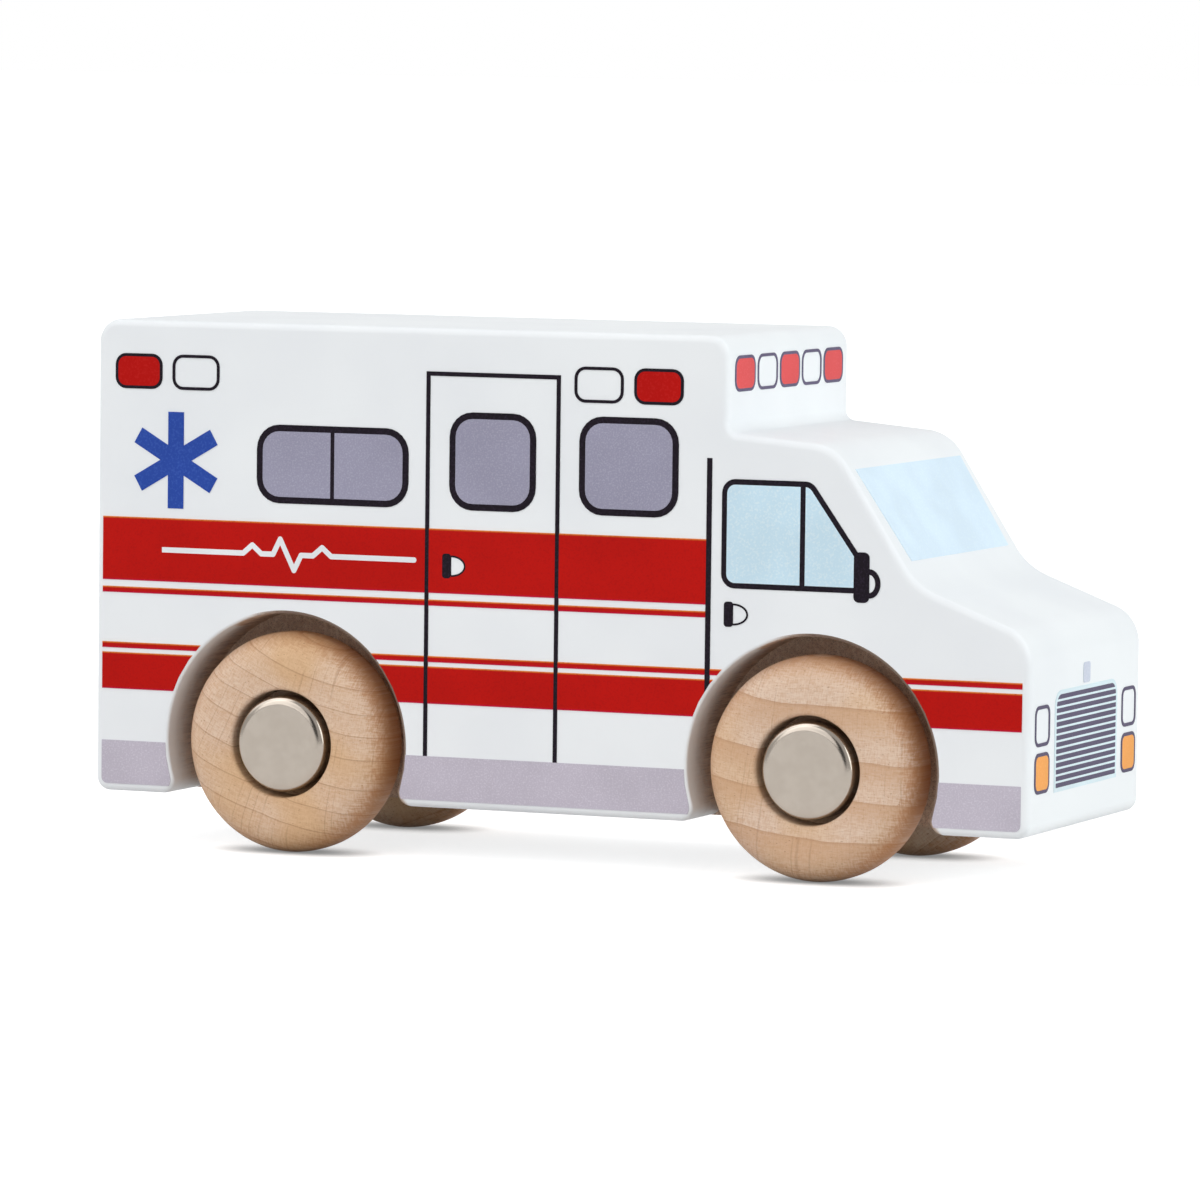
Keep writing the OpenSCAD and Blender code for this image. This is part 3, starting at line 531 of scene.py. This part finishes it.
def red_band_material():
    """Red bands whose upper edges show a yellow fringe and lower edges a crimson one."""
    material, graph = new_material("red_band_ink")
    place = graph.place_mm()
    low = RED_BANDS[0][0] - RAMP_MARGIN
    reach = RED_BANDS[-1][1] + RAMP_MARGIN - low
    red = screen(190, 20, 14)
    crimson = screen(196, 30, 78)
    amber = screen(236, 150, 70)
    stops = []
    for bottom, top in RED_BANDS:
        for height, colour in ((bottom, crimson), (bottom + FRINGE, red), (top - FRINGE, red), (top, amber)):
            stops.append(((height - low) / reach, colour))
    height = graph.math("SUBTRACT", graph.split(place)[2], low)
    ink = graph.ramp(graph.math("DIVIDE", height, reach), stops)
    ink_surface(graph, place, ink, screen(160, 14, 16), fleck_scale=4.0, fleck_share=0.35)
    return material


def bare_share(graph, place):
    """How bare the block is: 0 on sprayed paint, 1 deep in an arch, with a ragged edge between."""
    patch = graph.noise(place, RAGGED_SCALE, detail=3.0, roughness=0.6)
    ragged = graph.math("ADD", graph.attribute("arch_depth"), graph.spread(patch, *RAGGED_DEPTHS))
    return graph.remap(ragged, *THINNING_DEPTHS)


def bare_wood(graph, fibre):
    """Bare wood with dark fibres, and painted shade at the mouth of an arch."""
    wood = graph.mix(graph.spread(fibre["Coarse"]), *BARE_TONES)
    dark = graph.remap(fibre["Fine"], *DARK_FIBRE_SPAN, 0.0, DARK_FIBRE_SHARE)
    wood = graph.mix(dark, wood, DARK_FIBRE)
    # painted shade at the mouth of an arch
    return graph.mix(graph.math("MULTIPLY", graph.attribute("arch_mouth_shade"), MOUTH_SHADE_SHARE), wood, MOUTH_PAINTED_SHADE)


def painted_block_material():
    """White paint that thins to bare wood inside the wheel arches."""
    material, graph = new_material("white_paint")
    place = graph.place_mm()
    bare = bare_share(graph, place)
    fibre = graph.group(FIBRE_STREAKS, Place=place, Spacing=ARCH_FIBRE)
    grain = graph.group(FIBRE_STREAKS, Place=place, Spacing=BLOCK_FIBRE)
    paint = graph.mix(graph.spread(graph.noise(place, CLOUD_SCALE)), *PAINT_TONES)
    colour = graph.mix(bare, paint, bare_wood(graph, fibre))
    peel = graph.noise(place, PEEL_SCALE)
    dullness = graph.math("MULTIPLY", bare, BARE_DULLNESS)
    roughness = graph.math("ADD", graph.spread(peel, *PAINT_ROUGHNESS), dullness)
    height = graph.math("MULTIPLY", graph.math("ADD", grain["Coarse"], peel), 0.5)
    height = graph.math("ADD", height, graph.math("MULTIPLY", bare, fibre["Fine"]))
    graph.finish_surface(colour, roughness, height, *PAINT_BUMP, Specular_IOR_Level=PAINT_SHEEN)
    return material


def wheel_material(name, centre, grain):
    material, graph = new_material(name)
    made = graph.group(END_GRAIN, Place=graph.place_mm(centre), **grain)
    graph.finish_surface(made["Colour"], made["Roughness"], made["Height"], *BEECH_BUMP,
                         Specular_IOR_Level=BEECH_SHEEN)
    return material


def metal_material(name, centre, base, cloudy, roughness, depth):
    material, graph = new_material(name)
    made = graph.group(FINE_SCRATCHES, Place=graph.place_mm(centre), Depth=depth)
    colour = graph.mix(graph.spread(made["Cloud"]), base, cloudy)
    graph.finish_surface(colour, graph.spread(made["Cloud"], *roughness), made["Mark"], *STEEL_BUMP,
                         Metallic=1.0)
    return material


# Inks of one colour: the colour, its flecks, their scale per millimetre and their share
INKS = {
    "black_ink": ((28, 22, 30), (52, 42, 58), 4.0, 0.5),
    "blue_ink": ((46, 76, 164), (66, 98, 184), 3.5, 0.5),
    "lamp_red_ink": ((184, 16, 12), (198, 38, 34), 3.5, 0.45),
    "skirt_grey_ink": ((194, 187, 200), (220, 215, 225), 4.6, 0.55),
    "pane_grey_ink": ((155, 153, 174), (184, 181, 198), 4.6, 0.55),
    "pale_blue_ink": ((205, 232, 246), (228, 244, 251), 3.2, 0.6),
    "windscreen_ink": ((218, 236, 250), (228, 244, 252), 3.0, 0.5),
    "grille_backing_ink": ((220, 237, 243), (234, 244, 248), 3.5, 0.5),
    "grille_grey_ink": ((82, 74, 100), (112, 102, 130), 3.5, 0.5),
    "plate_grey_ink": ((206, 212, 228), (228, 232, 240), 3.5, 0.5),
    "orange_ink": ((246, 166, 84), (252, 188, 116), 3.5, 0.5),
    "bar_red_ink": ((222, 78, 80), (232, 110, 110), 3.5, 0.45),
    "bar_line_ink": ((92, 84, 112), (124, 118, 146), 3.5, 0.5),
    "white_ink": ((236, 239, 242), (244, 246, 248), 3.0, 0.4),
}

# The ink of each kind of film, by the end of the film's name
FILM_INKS = {
    "stripe_print": "red_band_ink",
    "skirt_print": "skirt_grey_ink",
    "pane_print": "pane_grey_ink",
    "cab_glass_print": "pale_blue_ink",
    "line_print": "black_ink",
    "lamp_print": "lamp_red_ink",
    "light_bar_lamp_print": "bar_red_ink",
    "light_bar_line_print": "bar_line_ink",
    "star_print": "blue_ink",
    "pulse_print": "white_ink",
    "windscreen_print": "windscreen_ink",
    "grille_print": "grille_grey_ink",
    "grille_backing_print": "grille_backing_ink",
    "plate_print": "plate_grey_ink",
    "headlamp_line_print": "grille_grey_ink",
    "indicator_print": "orange_ink",
}


def finish_node(name, material):
    """Gives a carried-over node its finish."""
    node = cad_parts[name]
    if not node.material_slots:
        node.data.materials.append(material)
    for material_slot in node.material_slots:
        material_slot.material = material


def finish_print():
    """Each film takes the ink with the longest matching name."""
    inks = {name: ink_material(name, *recipe) for name, recipe in INKS.items()}
    inks["red_band_ink"] = red_band_material()
    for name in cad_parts:
        matching = [ending for ending in FILM_INKS if name.endswith(ending)]
        if matching:
            finish_node(name, inks[FILM_INKS[max(matching, key=len)]])


def corner_arc(before, corner, after, radius, inset, steps):
    """Points of a rounded corner of an outline that is drawn in by a distance."""
    ahead = (corner - before).normalized()
    onward = (after - corner).normalized()
    left = Vector((-ahead.y, ahead.x))
    side = 1 if left.dot(onward) > 0 else -1
    turn = ahead.angle(onward)
    centre = corner - ahead * radius * math.tan(turn / 2) + left * side * radius
    start = math.atan2(-side * left.y, -side * left.x)
    reach = radius - side * inset
    return arc(centre, reach, start, start + side * turn, steps)


def arc(centre, radius, start, end, steps):
    points = []
    for i in range(steps + 1):
        angle = start + (end - start) * i / steps
        points.append(Vector((centre[0] + radius * math.cos(angle), centre[1] + radius * math.sin(angle))))
    return points


def profile_corners():
    """Corners of the side view with their radii, counter-clockwise, from the rear of the underside."""
    front = BODY_L / 2
    step = front - CAB_L
    foot = Vector((front - BONNET_L, NOSE_Z + BONNET_L * math.tan(BONNET_FALL)))
    screen_rise = math.tan(WINDSCREEN_SLOPE)
    roof_rise = math.tan(CAB_ROOF_FALL)
    brow_x = (foot.y + foot.x * screen_rise - CAB_ROOF_Z - step * roof_rise) / (screen_rise - roof_rise)
    brow = Vector((brow_x, CAB_ROOF_Z - (brow_x - step) * roof_rise))
    return [
        (Vector((-front, UNDERSIDE_Z)), UNDERSIDE_R),
        (Vector((front, UNDERSIDE_Z)), UNDERSIDE_R),
        (Vector((front, NOSE_Z)), NOSE_R),
        (foot, WINDSCREEN_FOOT_R),
        (brow, CAB_ROOF_R),
        (Vector((step, CAB_ROOF_Z)), STEP_R),
        (Vector((step, ROOF_Z)), FRONT_ROOF_R),
        (Vector((-front, ROOF_Z)), REAR_ROOF_R),
    ]


def profile_arc(index, inset):
    corners = profile_corners()
    corner, radius = corners[index]
    before = corners[index - 1][0]
    after = corners[(index + 1) % len(corners)][0]
    return corner_arc(before, corner, after, radius, inset, CORNER_STEPS)


def arch_foot():
    """Half width of an arch between the middles of its foot roundings, and the angle where they end."""
    drop = AXLE_Z - UNDERSIDE_Z - ARCH_FOOT_R
    half = math.sqrt((ARCH_R + ARCH_FOOT_R) ** 2 - drop ** 2)
    return half, math.atan2(drop, half)


def arch_stops(x):
    """Points round one arch, rear foot to front: middle, radius, which way the edge widens, angle, share.

    The share runs from 0 on the underside to 1 on the arch.
    """
    half, angle = arch_foot()
    foot_z = UNDERSIDE_Z + ARCH_FOOT_R
    foot_turn = math.pi / 2 + angle
    rear = []
    front = []
    for i in range(FOOT_STEPS):
        share = i / FOOT_STEPS
        rear.append(((x - half, foot_z), ARCH_FOOT_R, -1, foot_turn * share - math.pi / 2, share))
        front.append(((x + half, foot_z), ARCH_FOOT_R, -1, 1.5 * math.pi - foot_turn * share, share))
    middle = []
    for i in range(ARCH_STEPS + 1):
        place = math.pi + angle - (math.pi + 2 * angle) * i / ARCH_STEPS
        middle.append(((x, AXLE_Z), ARCH_R, 1, place, 1.0))
    return rear + middle + front[::-1]


def side_ring(turn):
    """Outline at one turn of the rounded edges: X, Z, distance from the flat side and share of arch."""
    def rounding(radius):
        return radius * (1 - math.sin(turn)), radius * (1 - math.cos(turn))

    distance, inset = rounding(EDGE_R)
    corners = [
        [(p.x, p.y, distance, 0.0) for p in profile_arc(index, inset)]
        for index in range(len(profile_corners()))
    ]
    arches = []
    for x in (REAR_AXLE_X, FRONT_AXLE_X):
        for middle, radius, way, angle, share in arch_stops(x):
            arch_distance, arch_inset = rounding(EDGE_R + (ARCH_EDGE_R - EDGE_R) * share)
            reach = radius + way * arch_inset
            arches.append((middle[0] + reach * math.cos(angle), middle[1] + reach * math.sin(angle),
                           arch_distance, share))
    return corners[0] + arches + [point for corner in corners[1:] for point in corner]


def block_rings():
    """Outlines across one half of the block, from the flat side in to the floors of the arches."""
    rings = [side_ring(math.pi / 2 * i / EDGE_STEPS) for i in range(EDGE_STEPS, -1, -1)]
    for depth in (MOUTH_SHADE_REACH, ARCH_DEPTH):
        rings.append([(x, z, depth, share) for x, z, _, share in rings[-1]])
    return rings


def arch_bareness_and_shade(x, distance, share):
    """Depth in an arch as the paint sees it, least sprayed at the front, and painted shade near a bare
    mouth.
    """
    middle = REAR_AXLE_X if x < 0 else FRONT_AXLE_X
    ahead = max(0.0, (x - middle) / ARCH_R + SPRAY_REACH)
    bare = min(1.0, ahead / SPRAY_REACH)
    depth = share * (distance * (1 + SPRAY_SHADOW * ahead) + BARE_EDGE * bare)
    # the second value is the share of painted shade, darker near a bare mouth
    return depth, share * bare * max(0.0, 1 - distance / MOUTH_SHADE_REACH)


def block_half(mesh, layers, side):
    """Flat side, rounded edges and arch walls of one half; returns the innermost ring of corners."""
    rings = block_rings()
    corners = [
        [mesh.verts.new((x * MM, side * (BODY_W / 2 - distance) * MM, z * MM)) for x, z, distance, _ in ring]
        for ring in rings
    ]
    mesh.faces.new(corners[0])
    count = len(corners[0])
    for k in range(len(rings) - 1):
        for i in range(count):
            j = (i + 1) % count
            face = mesh.faces.new((corners[k][i], corners[k][j], corners[k + 1][j], corners[k + 1][i]))
            ends = (rings[k][i], rings[k][j], rings[k + 1][j], rings[k + 1][i])
            for loop, (x, _, distance, share) in zip(face.loops, ends):
                for layer, value in zip(layers, arch_bareness_and_shade(x, distance, share)):
                    loop[layer] = value
    return corners[-1]


def arch_floor(mesh, layer, ring, start, x, side):
    """Floor of one arch round its bore; returns the bore's corners and the low middle of the floor."""
    edge = ring[start:start + ARCH_POINTS]
    y = side * (BODY_W / 2 - ARCH_DEPTH) * MM
    low = mesh.verts.new((x * MM, y, UNDERSIDE_Z * MM))
    circle = arc((x, AXLE_Z), BORE_R, -math.pi / 2, 1.5 * math.pi, BORE_STEPS)[:-1]
    bore = [mesh.verts.new((p.x * MM, y, p.y * MM)) for p in circle]
    top = ARCH_POINTS // 2
    rear_half = edge[:top + 1] + bore[BORE_STEPS // 2:] + [bore[0], low]
    front_half = edge[top:] + [low] + bore[:BORE_STEPS // 2 + 1]
    for corners in (rear_half, front_half):
        face = mesh.faces.new(corners)
        for loop in face.loops:
            loop[layer] = ARCH_DEPTH
    return bore, low


def core_ring(ring, starts, lows):
    """Innermost ring with each arch bridged along the underside."""
    kept = []
    position = 0
    for start, low in zip(starts, lows):
        kept += ring[position:start + 1] + [low]
        position = start + ARCH_POINTS - 1
    return kept + ring[position:]


def bridge(mesh, first, second):
    """Faces between two rings with as many corners."""
    count = len(first)
    return [
        mesh.faces.new((first[i], first[(i + 1) % count], second[(i + 1) % count], second[i]))
        for i in range(count)
    ]


def painted_block():
    """The block as one closed skin: two rounded sides with arches, a plain core and two bores."""
    mesh = bmesh.new()
    layers = [mesh.loops.layers.float.new(name) for name in ("arch_depth", "arch_mouth_shade")]
    starts = [CORNER_STEPS + 1, CORNER_STEPS + 1 + ARCH_POINTS]
    cores = []
    bores = []
    for side in (-1, 1):
        ring = block_half(mesh, layers, side)
        floors = [
            arch_floor(mesh, layers[0], ring, start, x, side)
            for start, x in zip(starts, (REAR_AXLE_X, FRONT_AXLE_X))
        ]
        bores.append([floor[0] for floor in floors])
        cores.append(core_ring(ring, starts, [floor[1] for floor in floors]))
    bridge(mesh, cores[0], cores[1])
    for right, left in zip(bores[0], bores[1]):
        for face in bridge(mesh, right, left):
            for loop in face.loops:
                loop[layers[0]] = ARCH_DEPTH
    bmesh.ops.recalc_face_normals(mesh, faces=mesh.faces)
    return weighted_piece("painted_block", mesh, painted_block_material())


def weighted_piece(name, mesh, material):
    """Smooth piece whose flats stay flat: normals follow the larger faces."""
    for face in mesh.faces:
        face.smooth = True
    data = bpy.data.meshes.new(name)
    mesh.to_mesh(data)
    mesh.free()
    data.set_sharp_from_angle(angle=BLOCK_SHARP)
    piece = in_scene(name, data)
    piece.modifiers.new("flats", "WEIGHTED_NORMAL").keep_sharp = True
    plain_mesh(piece)
    piece.data.materials.clear()
    piece.data.materials.append(material)
    return piece


def plain_mesh(piece):
    """Turns what the modifiers make into the piece's own mesh and removes them."""
    depsgraph = bpy.context.evaluated_depsgraph_get()
    seen = piece.evaluated_get(depsgraph)
    made = bpy.data.meshes.new_from_object(seen, preserve_all_data_layers=True, depsgraph=depsgraph)
    piece.modifiers.clear()
    piece.data = made


def turned_place(graph, given, across):
    """Place of each point of a grid: a row for each corner of the section, a column for each facet."""
    index = graph.add("GeometryNodeInputIndex").outputs[0]
    row = graph.math("FLOOR", graph.math("DIVIDE", graph.math("ADD", index, 0.5), across))
    facet = graph.math("SUBTRACT", index, graph.math("MULTIPLY", row, across))
    sample = graph.add("GeometryNodeSampleIndex", data_type="FLOAT_VECTOR", domain="POINT")
    graph.feed(sample.inputs["Geometry"], given["Half Section"])
    graph.feed(sample.inputs["Value"], graph.add("GeometryNodeInputPosition").outputs[0])
    graph.feed(sample.inputs["Index"], row)
    radius, outwards, _ = graph.split(sample.outputs[0])
    angle = graph.math("MULTIPLY", graph.math("DIVIDE", facet, given["Facets"]), math.tau)
    place = graph.join(
        graph.math("MULTIPLY", radius, graph.math("COSINE", angle)),
        graph.math("MULTIPLY", outwards, given["Outwards"]),
        graph.math("MULTIPLY", radius, graph.math("SINE", angle)),
    )
    return graph.vector("ADD", place, given["Centre"])


def make_turning():
    """Geometry tree that turns a half section about an axle: its X is the radius, its Y runs outwards."""
    graph, given, result = new_group(
        "turned_piece",
        [("Half Section", "Geometry"), ("Corners", "Int"), ("Facets", "Int"), ("Centre", "Vector"),
         ("Outwards", "Float"), ("Finish", "Material")],
        [("Turned", "Geometry")],
        "GeometryNodeTree",
    )
    across = graph.math("ADD", given["Facets"], 1.0)
    grid = graph.add("GeometryNodeMeshGrid")
    graph.feed(grid.inputs["Vertices X"], given["Corners"])
    graph.feed(grid.inputs["Vertices Y"], across)
    moved = graph.add("GeometryNodeSetPosition")
    graph.feed(moved.inputs["Geometry"], grid.outputs["Mesh"])
    graph.feed(moved.inputs["Position"], turned_place(graph, given, across))
    merged = graph.add("GeometryNodeMergeByDistance")
    graph.feed(merged.inputs["Geometry"], moved.outputs[0])
    merged.inputs["Distance"].default_value = MERGE_REACH * MM
    smooth = graph.add("GeometryNodeSetShadeSmooth")
    graph.feed(smooth.inputs[0], merged.outputs[0])
    real = graph.add("GeometryNodeRealizeInstances")
    graph.feed(real.inputs[0], smooth.outputs[0])
    finish = graph.add("GeometryNodeSetMaterial")
    graph.feed(finish.inputs["Geometry"], real.outputs[0])
    graph.feed(finish.inputs["Material"], given["Finish"])
    graph.feed(result[0], finish.outputs[0])
    return graph.tree


TURNING = make_turning()


def turned_piece(name, section, x, side, material):
    """A turned piece on an axle, from its half section: radius and distance from the middle, in mm."""
    data = bpy.data.meshes.new(name)
    edges = [(i, i + 1) for i in range(len(section) - 1)]
    data.from_pydata([(r * MM, y * MM, 0.0) for r, y in section], edges, [])
    piece = in_scene(name, data)
    modifier = piece.modifiers.new("turning", "NODES")
    modifier.node_group = TURNING
    values = {
        "Corners": len(section),
        "Facets": TURNED_FACETS,
        "Centre": (x * MM, 0.0, AXLE_Z * MM),
        "Outwards": float(side),
        "Finish": material,
    }
    for socket in TURNING.interface.items_tree:
        if socket.name in values:
            modifier[socket.identifier] = values[socket.name]
    plain_mesh(piece)
    mesh = bmesh.new()
    mesh.from_mesh(piece.data)
    bmesh.ops.recalc_face_normals(mesh, faces=mesh.faces)
    mesh.to_mesh(piece.data)
    mesh.free()
    piece.data.set_sharp_from_angle(angle=TURNED_SHARP)
    return piece


def wheel_section():
    """Half section of a wheel: boss, inner face, rounded rim, outer face, recess and bore."""
    rim_y = WHEEL_FACE_Y - WHEEL_T
    quarter = math.pi / 2
    section = [(BORE_R, BOSS_Y), (BOSS_R, BOSS_Y), (BOSS_R, rim_y)]
    section += arc((WHEEL_R - RIM_R, rim_y + RIM_R), RIM_R, -quarter, 0.0, FILLET_STEPS)
    section += arc((WHEEL_R - RIM_R, WHEEL_FACE_Y - RIM_R), RIM_R, 0.0, quarter, FILLET_STEPS)
    section += arc((RECESS_R + RECESS_LIP_R, WHEEL_FACE_Y - RECESS_LIP_R), RECESS_LIP_R,
                   quarter, 2 * quarter, LIP_STEPS)
    floor_y = WHEEL_FACE_Y - RECESS_DEPTH
    section += [(RECESS_R, floor_y), (BORE_R, floor_y), (BORE_R, BOSS_Y)]
    return section


def cap_section():
    """Half section of a pressed cap: round-edged cup with a collar on the rod."""
    rim_y = CAP_FACE_Y - CAP_H
    inner_y = CAP_FACE_Y - CAP_WALL
    section = [(0.0, CAP_FACE_Y)]
    section += arc((CAP_R - CAP_EDGE_R, CAP_FACE_Y - CAP_EDGE_R), CAP_EDGE_R, math.pi / 2, 0.0, FILLET_STEPS)
    section += [
        (CAP_R, rim_y),
        (CAP_R - CAP_WALL, rim_y),
        (CAP_R - CAP_WALL, inner_y),
        (COLLAR_R, inner_y),
        (COLLAR_R, rim_y),
        (AXLE_R, rim_y),
        (AXLE_R, inner_y),
        (0.0, inner_y),
    ]
    return section


# Each wheel's own piece of beech: its pith in millimetres from the middle, spacing and wobble of the rings,
# strength of bands, lines and rays, and share of honey tint
WHEEL_GRAIN = {
    "front_right": {
        "Pith": (14.0, 0.0, 150.0), "Ring_Spacing": 5.4, "Wobble": 2.2,
        "Band": 0.62, "Line": 0.20, "Rays": 0.26, "Honey": 0.16,
    },
    "rear_right": {
        "Pith": (18.0, 0.0, 57.0), "Ring_Spacing": 3.4, "Wobble": 1.2,
        "Band": 0.20, "Line": 0.42, "Rays": 0.32, "Honey": 0.55,
    },
    "front_left": {
        "Pith": (-40.0, 0.0, 52.0), "Ring_Spacing": 3.8, "Wobble": 1.6,
        "Band": 0.30, "Line": 0.32, "Rays": 0.28, "Honey": 0.40,
    },
    "rear_left": {
        "Pith": (30.0, 0.0, -90.0), "Ring_Spacing": 4.0, "Wobble": 2.0,
        "Band": 0.40, "Line": 0.30, "Rays": 0.28, "Honey": 0.50,
    },
}
AXLES = {"front": FRONT_AXLE_X, "rear": REAR_AXLE_X}


def wheel_set():
    """Wheels and caps on both axles, and the finish of the rods."""
    for corner, grain in WHEEL_GRAIN.items():
        end, hand = corner.split("_")
        x = AXLES[end]
        side = -1 if hand == "right" else 1
        middle = (x, 0.0, AXLE_Z)
        beech = wheel_material(corner + "_beech", middle, grain)
        wheel = turned_piece(corner + "_wheel_turned", wheel_section(), x, side, beech)
        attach(wheel, corner + "_wheel")
        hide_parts(corner + "_wheel")
        steel = metal_material(corner + "_cap_steel", middle, *CAP_STEEL)
        cap = turned_piece(corner + "_cap_pressed", cap_section(), x, side, steel)
        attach(cap, end + "_axle_set")
        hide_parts(corner + "_cap")
    for end, x in AXLES.items():
        finish_node(end + "_axle", metal_material(end + "_rod_steel", (x, 0.0, AXLE_Z), *ROD_STEEL))


def seen_rays(graph):
    """1 for rays from the camera and for mirrored or passing rays, else 0."""
    path = graph.add("ShaderNodeLightPath").outputs
    shown = graph.math("MAXIMUM", path["Is Camera Ray"], path["Is Glossy Ray"])
    return graph.math("MAXIMUM", shown, path["Is Transmission Ray"])


def make_floor():
    """Plain white floor: seen rays get a lift to white, the shadow stays, painted shade lies by the wheels.
    """
    data = bpy.data.meshes.new("floor")
    half = FLOOR_SIZE / 2
    data.from_pydata([(-half, -half, 0.0), (half, -half, 0.0), (half, half, 0.0), (-half, half, 0.0)],
                     [], [(0, 1, 2, 3)])
    floor = in_scene("floor", data)
    material, graph = new_material("floor_white")
    # occlusion paints shade on the floor close to the wheels
    contact = graph.add("ShaderNodeAmbientOcclusion")
    contact.inputs["Distance"].default_value = CONTACT_REACH * MM
    contact.inputs["Color"].default_value = (1.0, 1.0, 1.0, 1.0)
    open_share = graph.remap(contact.outputs["AO"], 0.0, 1.0, 1 - CONTACT_SHADE, 1.0)
    tone = graph.math("MULTIPLY", open_share, FLOOR_TONE)
    diffuse = graph.add("ShaderNodeBsdfDiffuse")
    graph.feed(diffuse.inputs["Color"], graph.join(tone, tone, tone))
    glow = graph.add("ShaderNodeEmission")
    lift = graph.math("MULTIPLY", open_share, FLOOR_LIFT)
    graph.feed(glow.inputs["Strength"], graph.math("MULTIPLY", seen_rays(graph), lift))
    both = graph.add("ShaderNodeAddShader")
    graph.feed(both.inputs[0], diffuse.outputs[0])
    graph.feed(both.inputs[1], glow.outputs[0])
    output = graph.add("ShaderNodeOutputMaterial")
    graph.feed(output.inputs["Surface"], both.outputs[0])
    data.materials.append(material)


def mirrored_side(graph, side, spread, mirrored):
    """Share that one side of the sky has in what metal mirrors."""
    towards = graph.add("ShaderNodeTexCoord").outputs["Generated"]
    facing = graph.vector("DOT_PRODUCT", towards, Vector(side).normalized())
    return graph.math("MULTIPLY", graph.remap(facing, *spread), mirrored)


def make_sky():
    """White for the camera, a softer level as light, and a dark and a bright side that metal mirrors."""
    world = bpy.data.worlds.new("studio")
    world.use_nodes = True
    world.node_tree.nodes.clear()
    bpy.context.scene.world = world
    graph = Graph(world.node_tree)
    path = graph.add("ShaderNodeLightPath").outputs
    mirrored = path["Is Glossy Ray"]
    level = SKY_LEVEL
    for share, change in (
        (path["Is Camera Ray"], 1 - SKY_LEVEL),
        (mirrored, MIRROR_LEVEL - SKY_LEVEL),
        (mirrored_side(graph, DARK_SIDE, DARK_SPREAD, mirrored), DARK_LEVEL - MIRROR_LEVEL),
        (mirrored_side(graph, BRIGHT_SIDE, BRIGHT_SPREAD, mirrored), BRIGHT_LEVEL),
    ):
        level = graph.math("ADD", level, graph.math("MULTIPLY", share, change))
    sky = graph.add("ShaderNodeBackground")
    sky.inputs["Color"].default_value = (1.0, 1.0, 1.0, 1.0)
    graph.feed(sky.inputs["Strength"], level)
    output = graph.add("ShaderNodeOutputWorld")
    graph.feed(output.inputs["Surface"], sky.outputs[0])


def make_lamp(name, level, source, softness, tint):
    """Wide, soft light from one direction."""
    light = bpy.data.lights.new(name, "SUN")
    light.energy = level
    light.angle = softness
    light.color = tint
    lamp = in_scene(name, light)
    lamp.rotation_mode = "QUATERNION"
    lamp.rotation_quaternion = Vector(source).to_track_quat("Z", "Y")


def make_camera():
    """Camera of the photograph, from its place and its three directions."""
    data = bpy.data.cameras.new("camera")
    data.lens = CAMERA_LENS
    data.sensor_width = CAMERA_SENSOR
    data.clip_start, data.clip_end = CAMERA_CLIP
    camera = in_scene("camera", data)
    turned = Matrix((CAMERA_RIGHT, CAMERA_UP, CAMERA_BACK)).transposed().to_4x4()
    camera.matrix_world = Matrix.Translation(CAMERA_PLACE) @ turned
    bpy.context.scene.camera = camera


block = painted_block()
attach(block, "block")
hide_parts("body_block")
finish_print()
wheel_set()
make_floor()
make_sky()
for lamp_name, lamp_values in LAMPS.items():
    make_lamp(lamp_name, *lamp_values)
make_camera()
bpy.context.scene.view_settings.view_transform = "Standard"

bpy.context.view_layer.update()
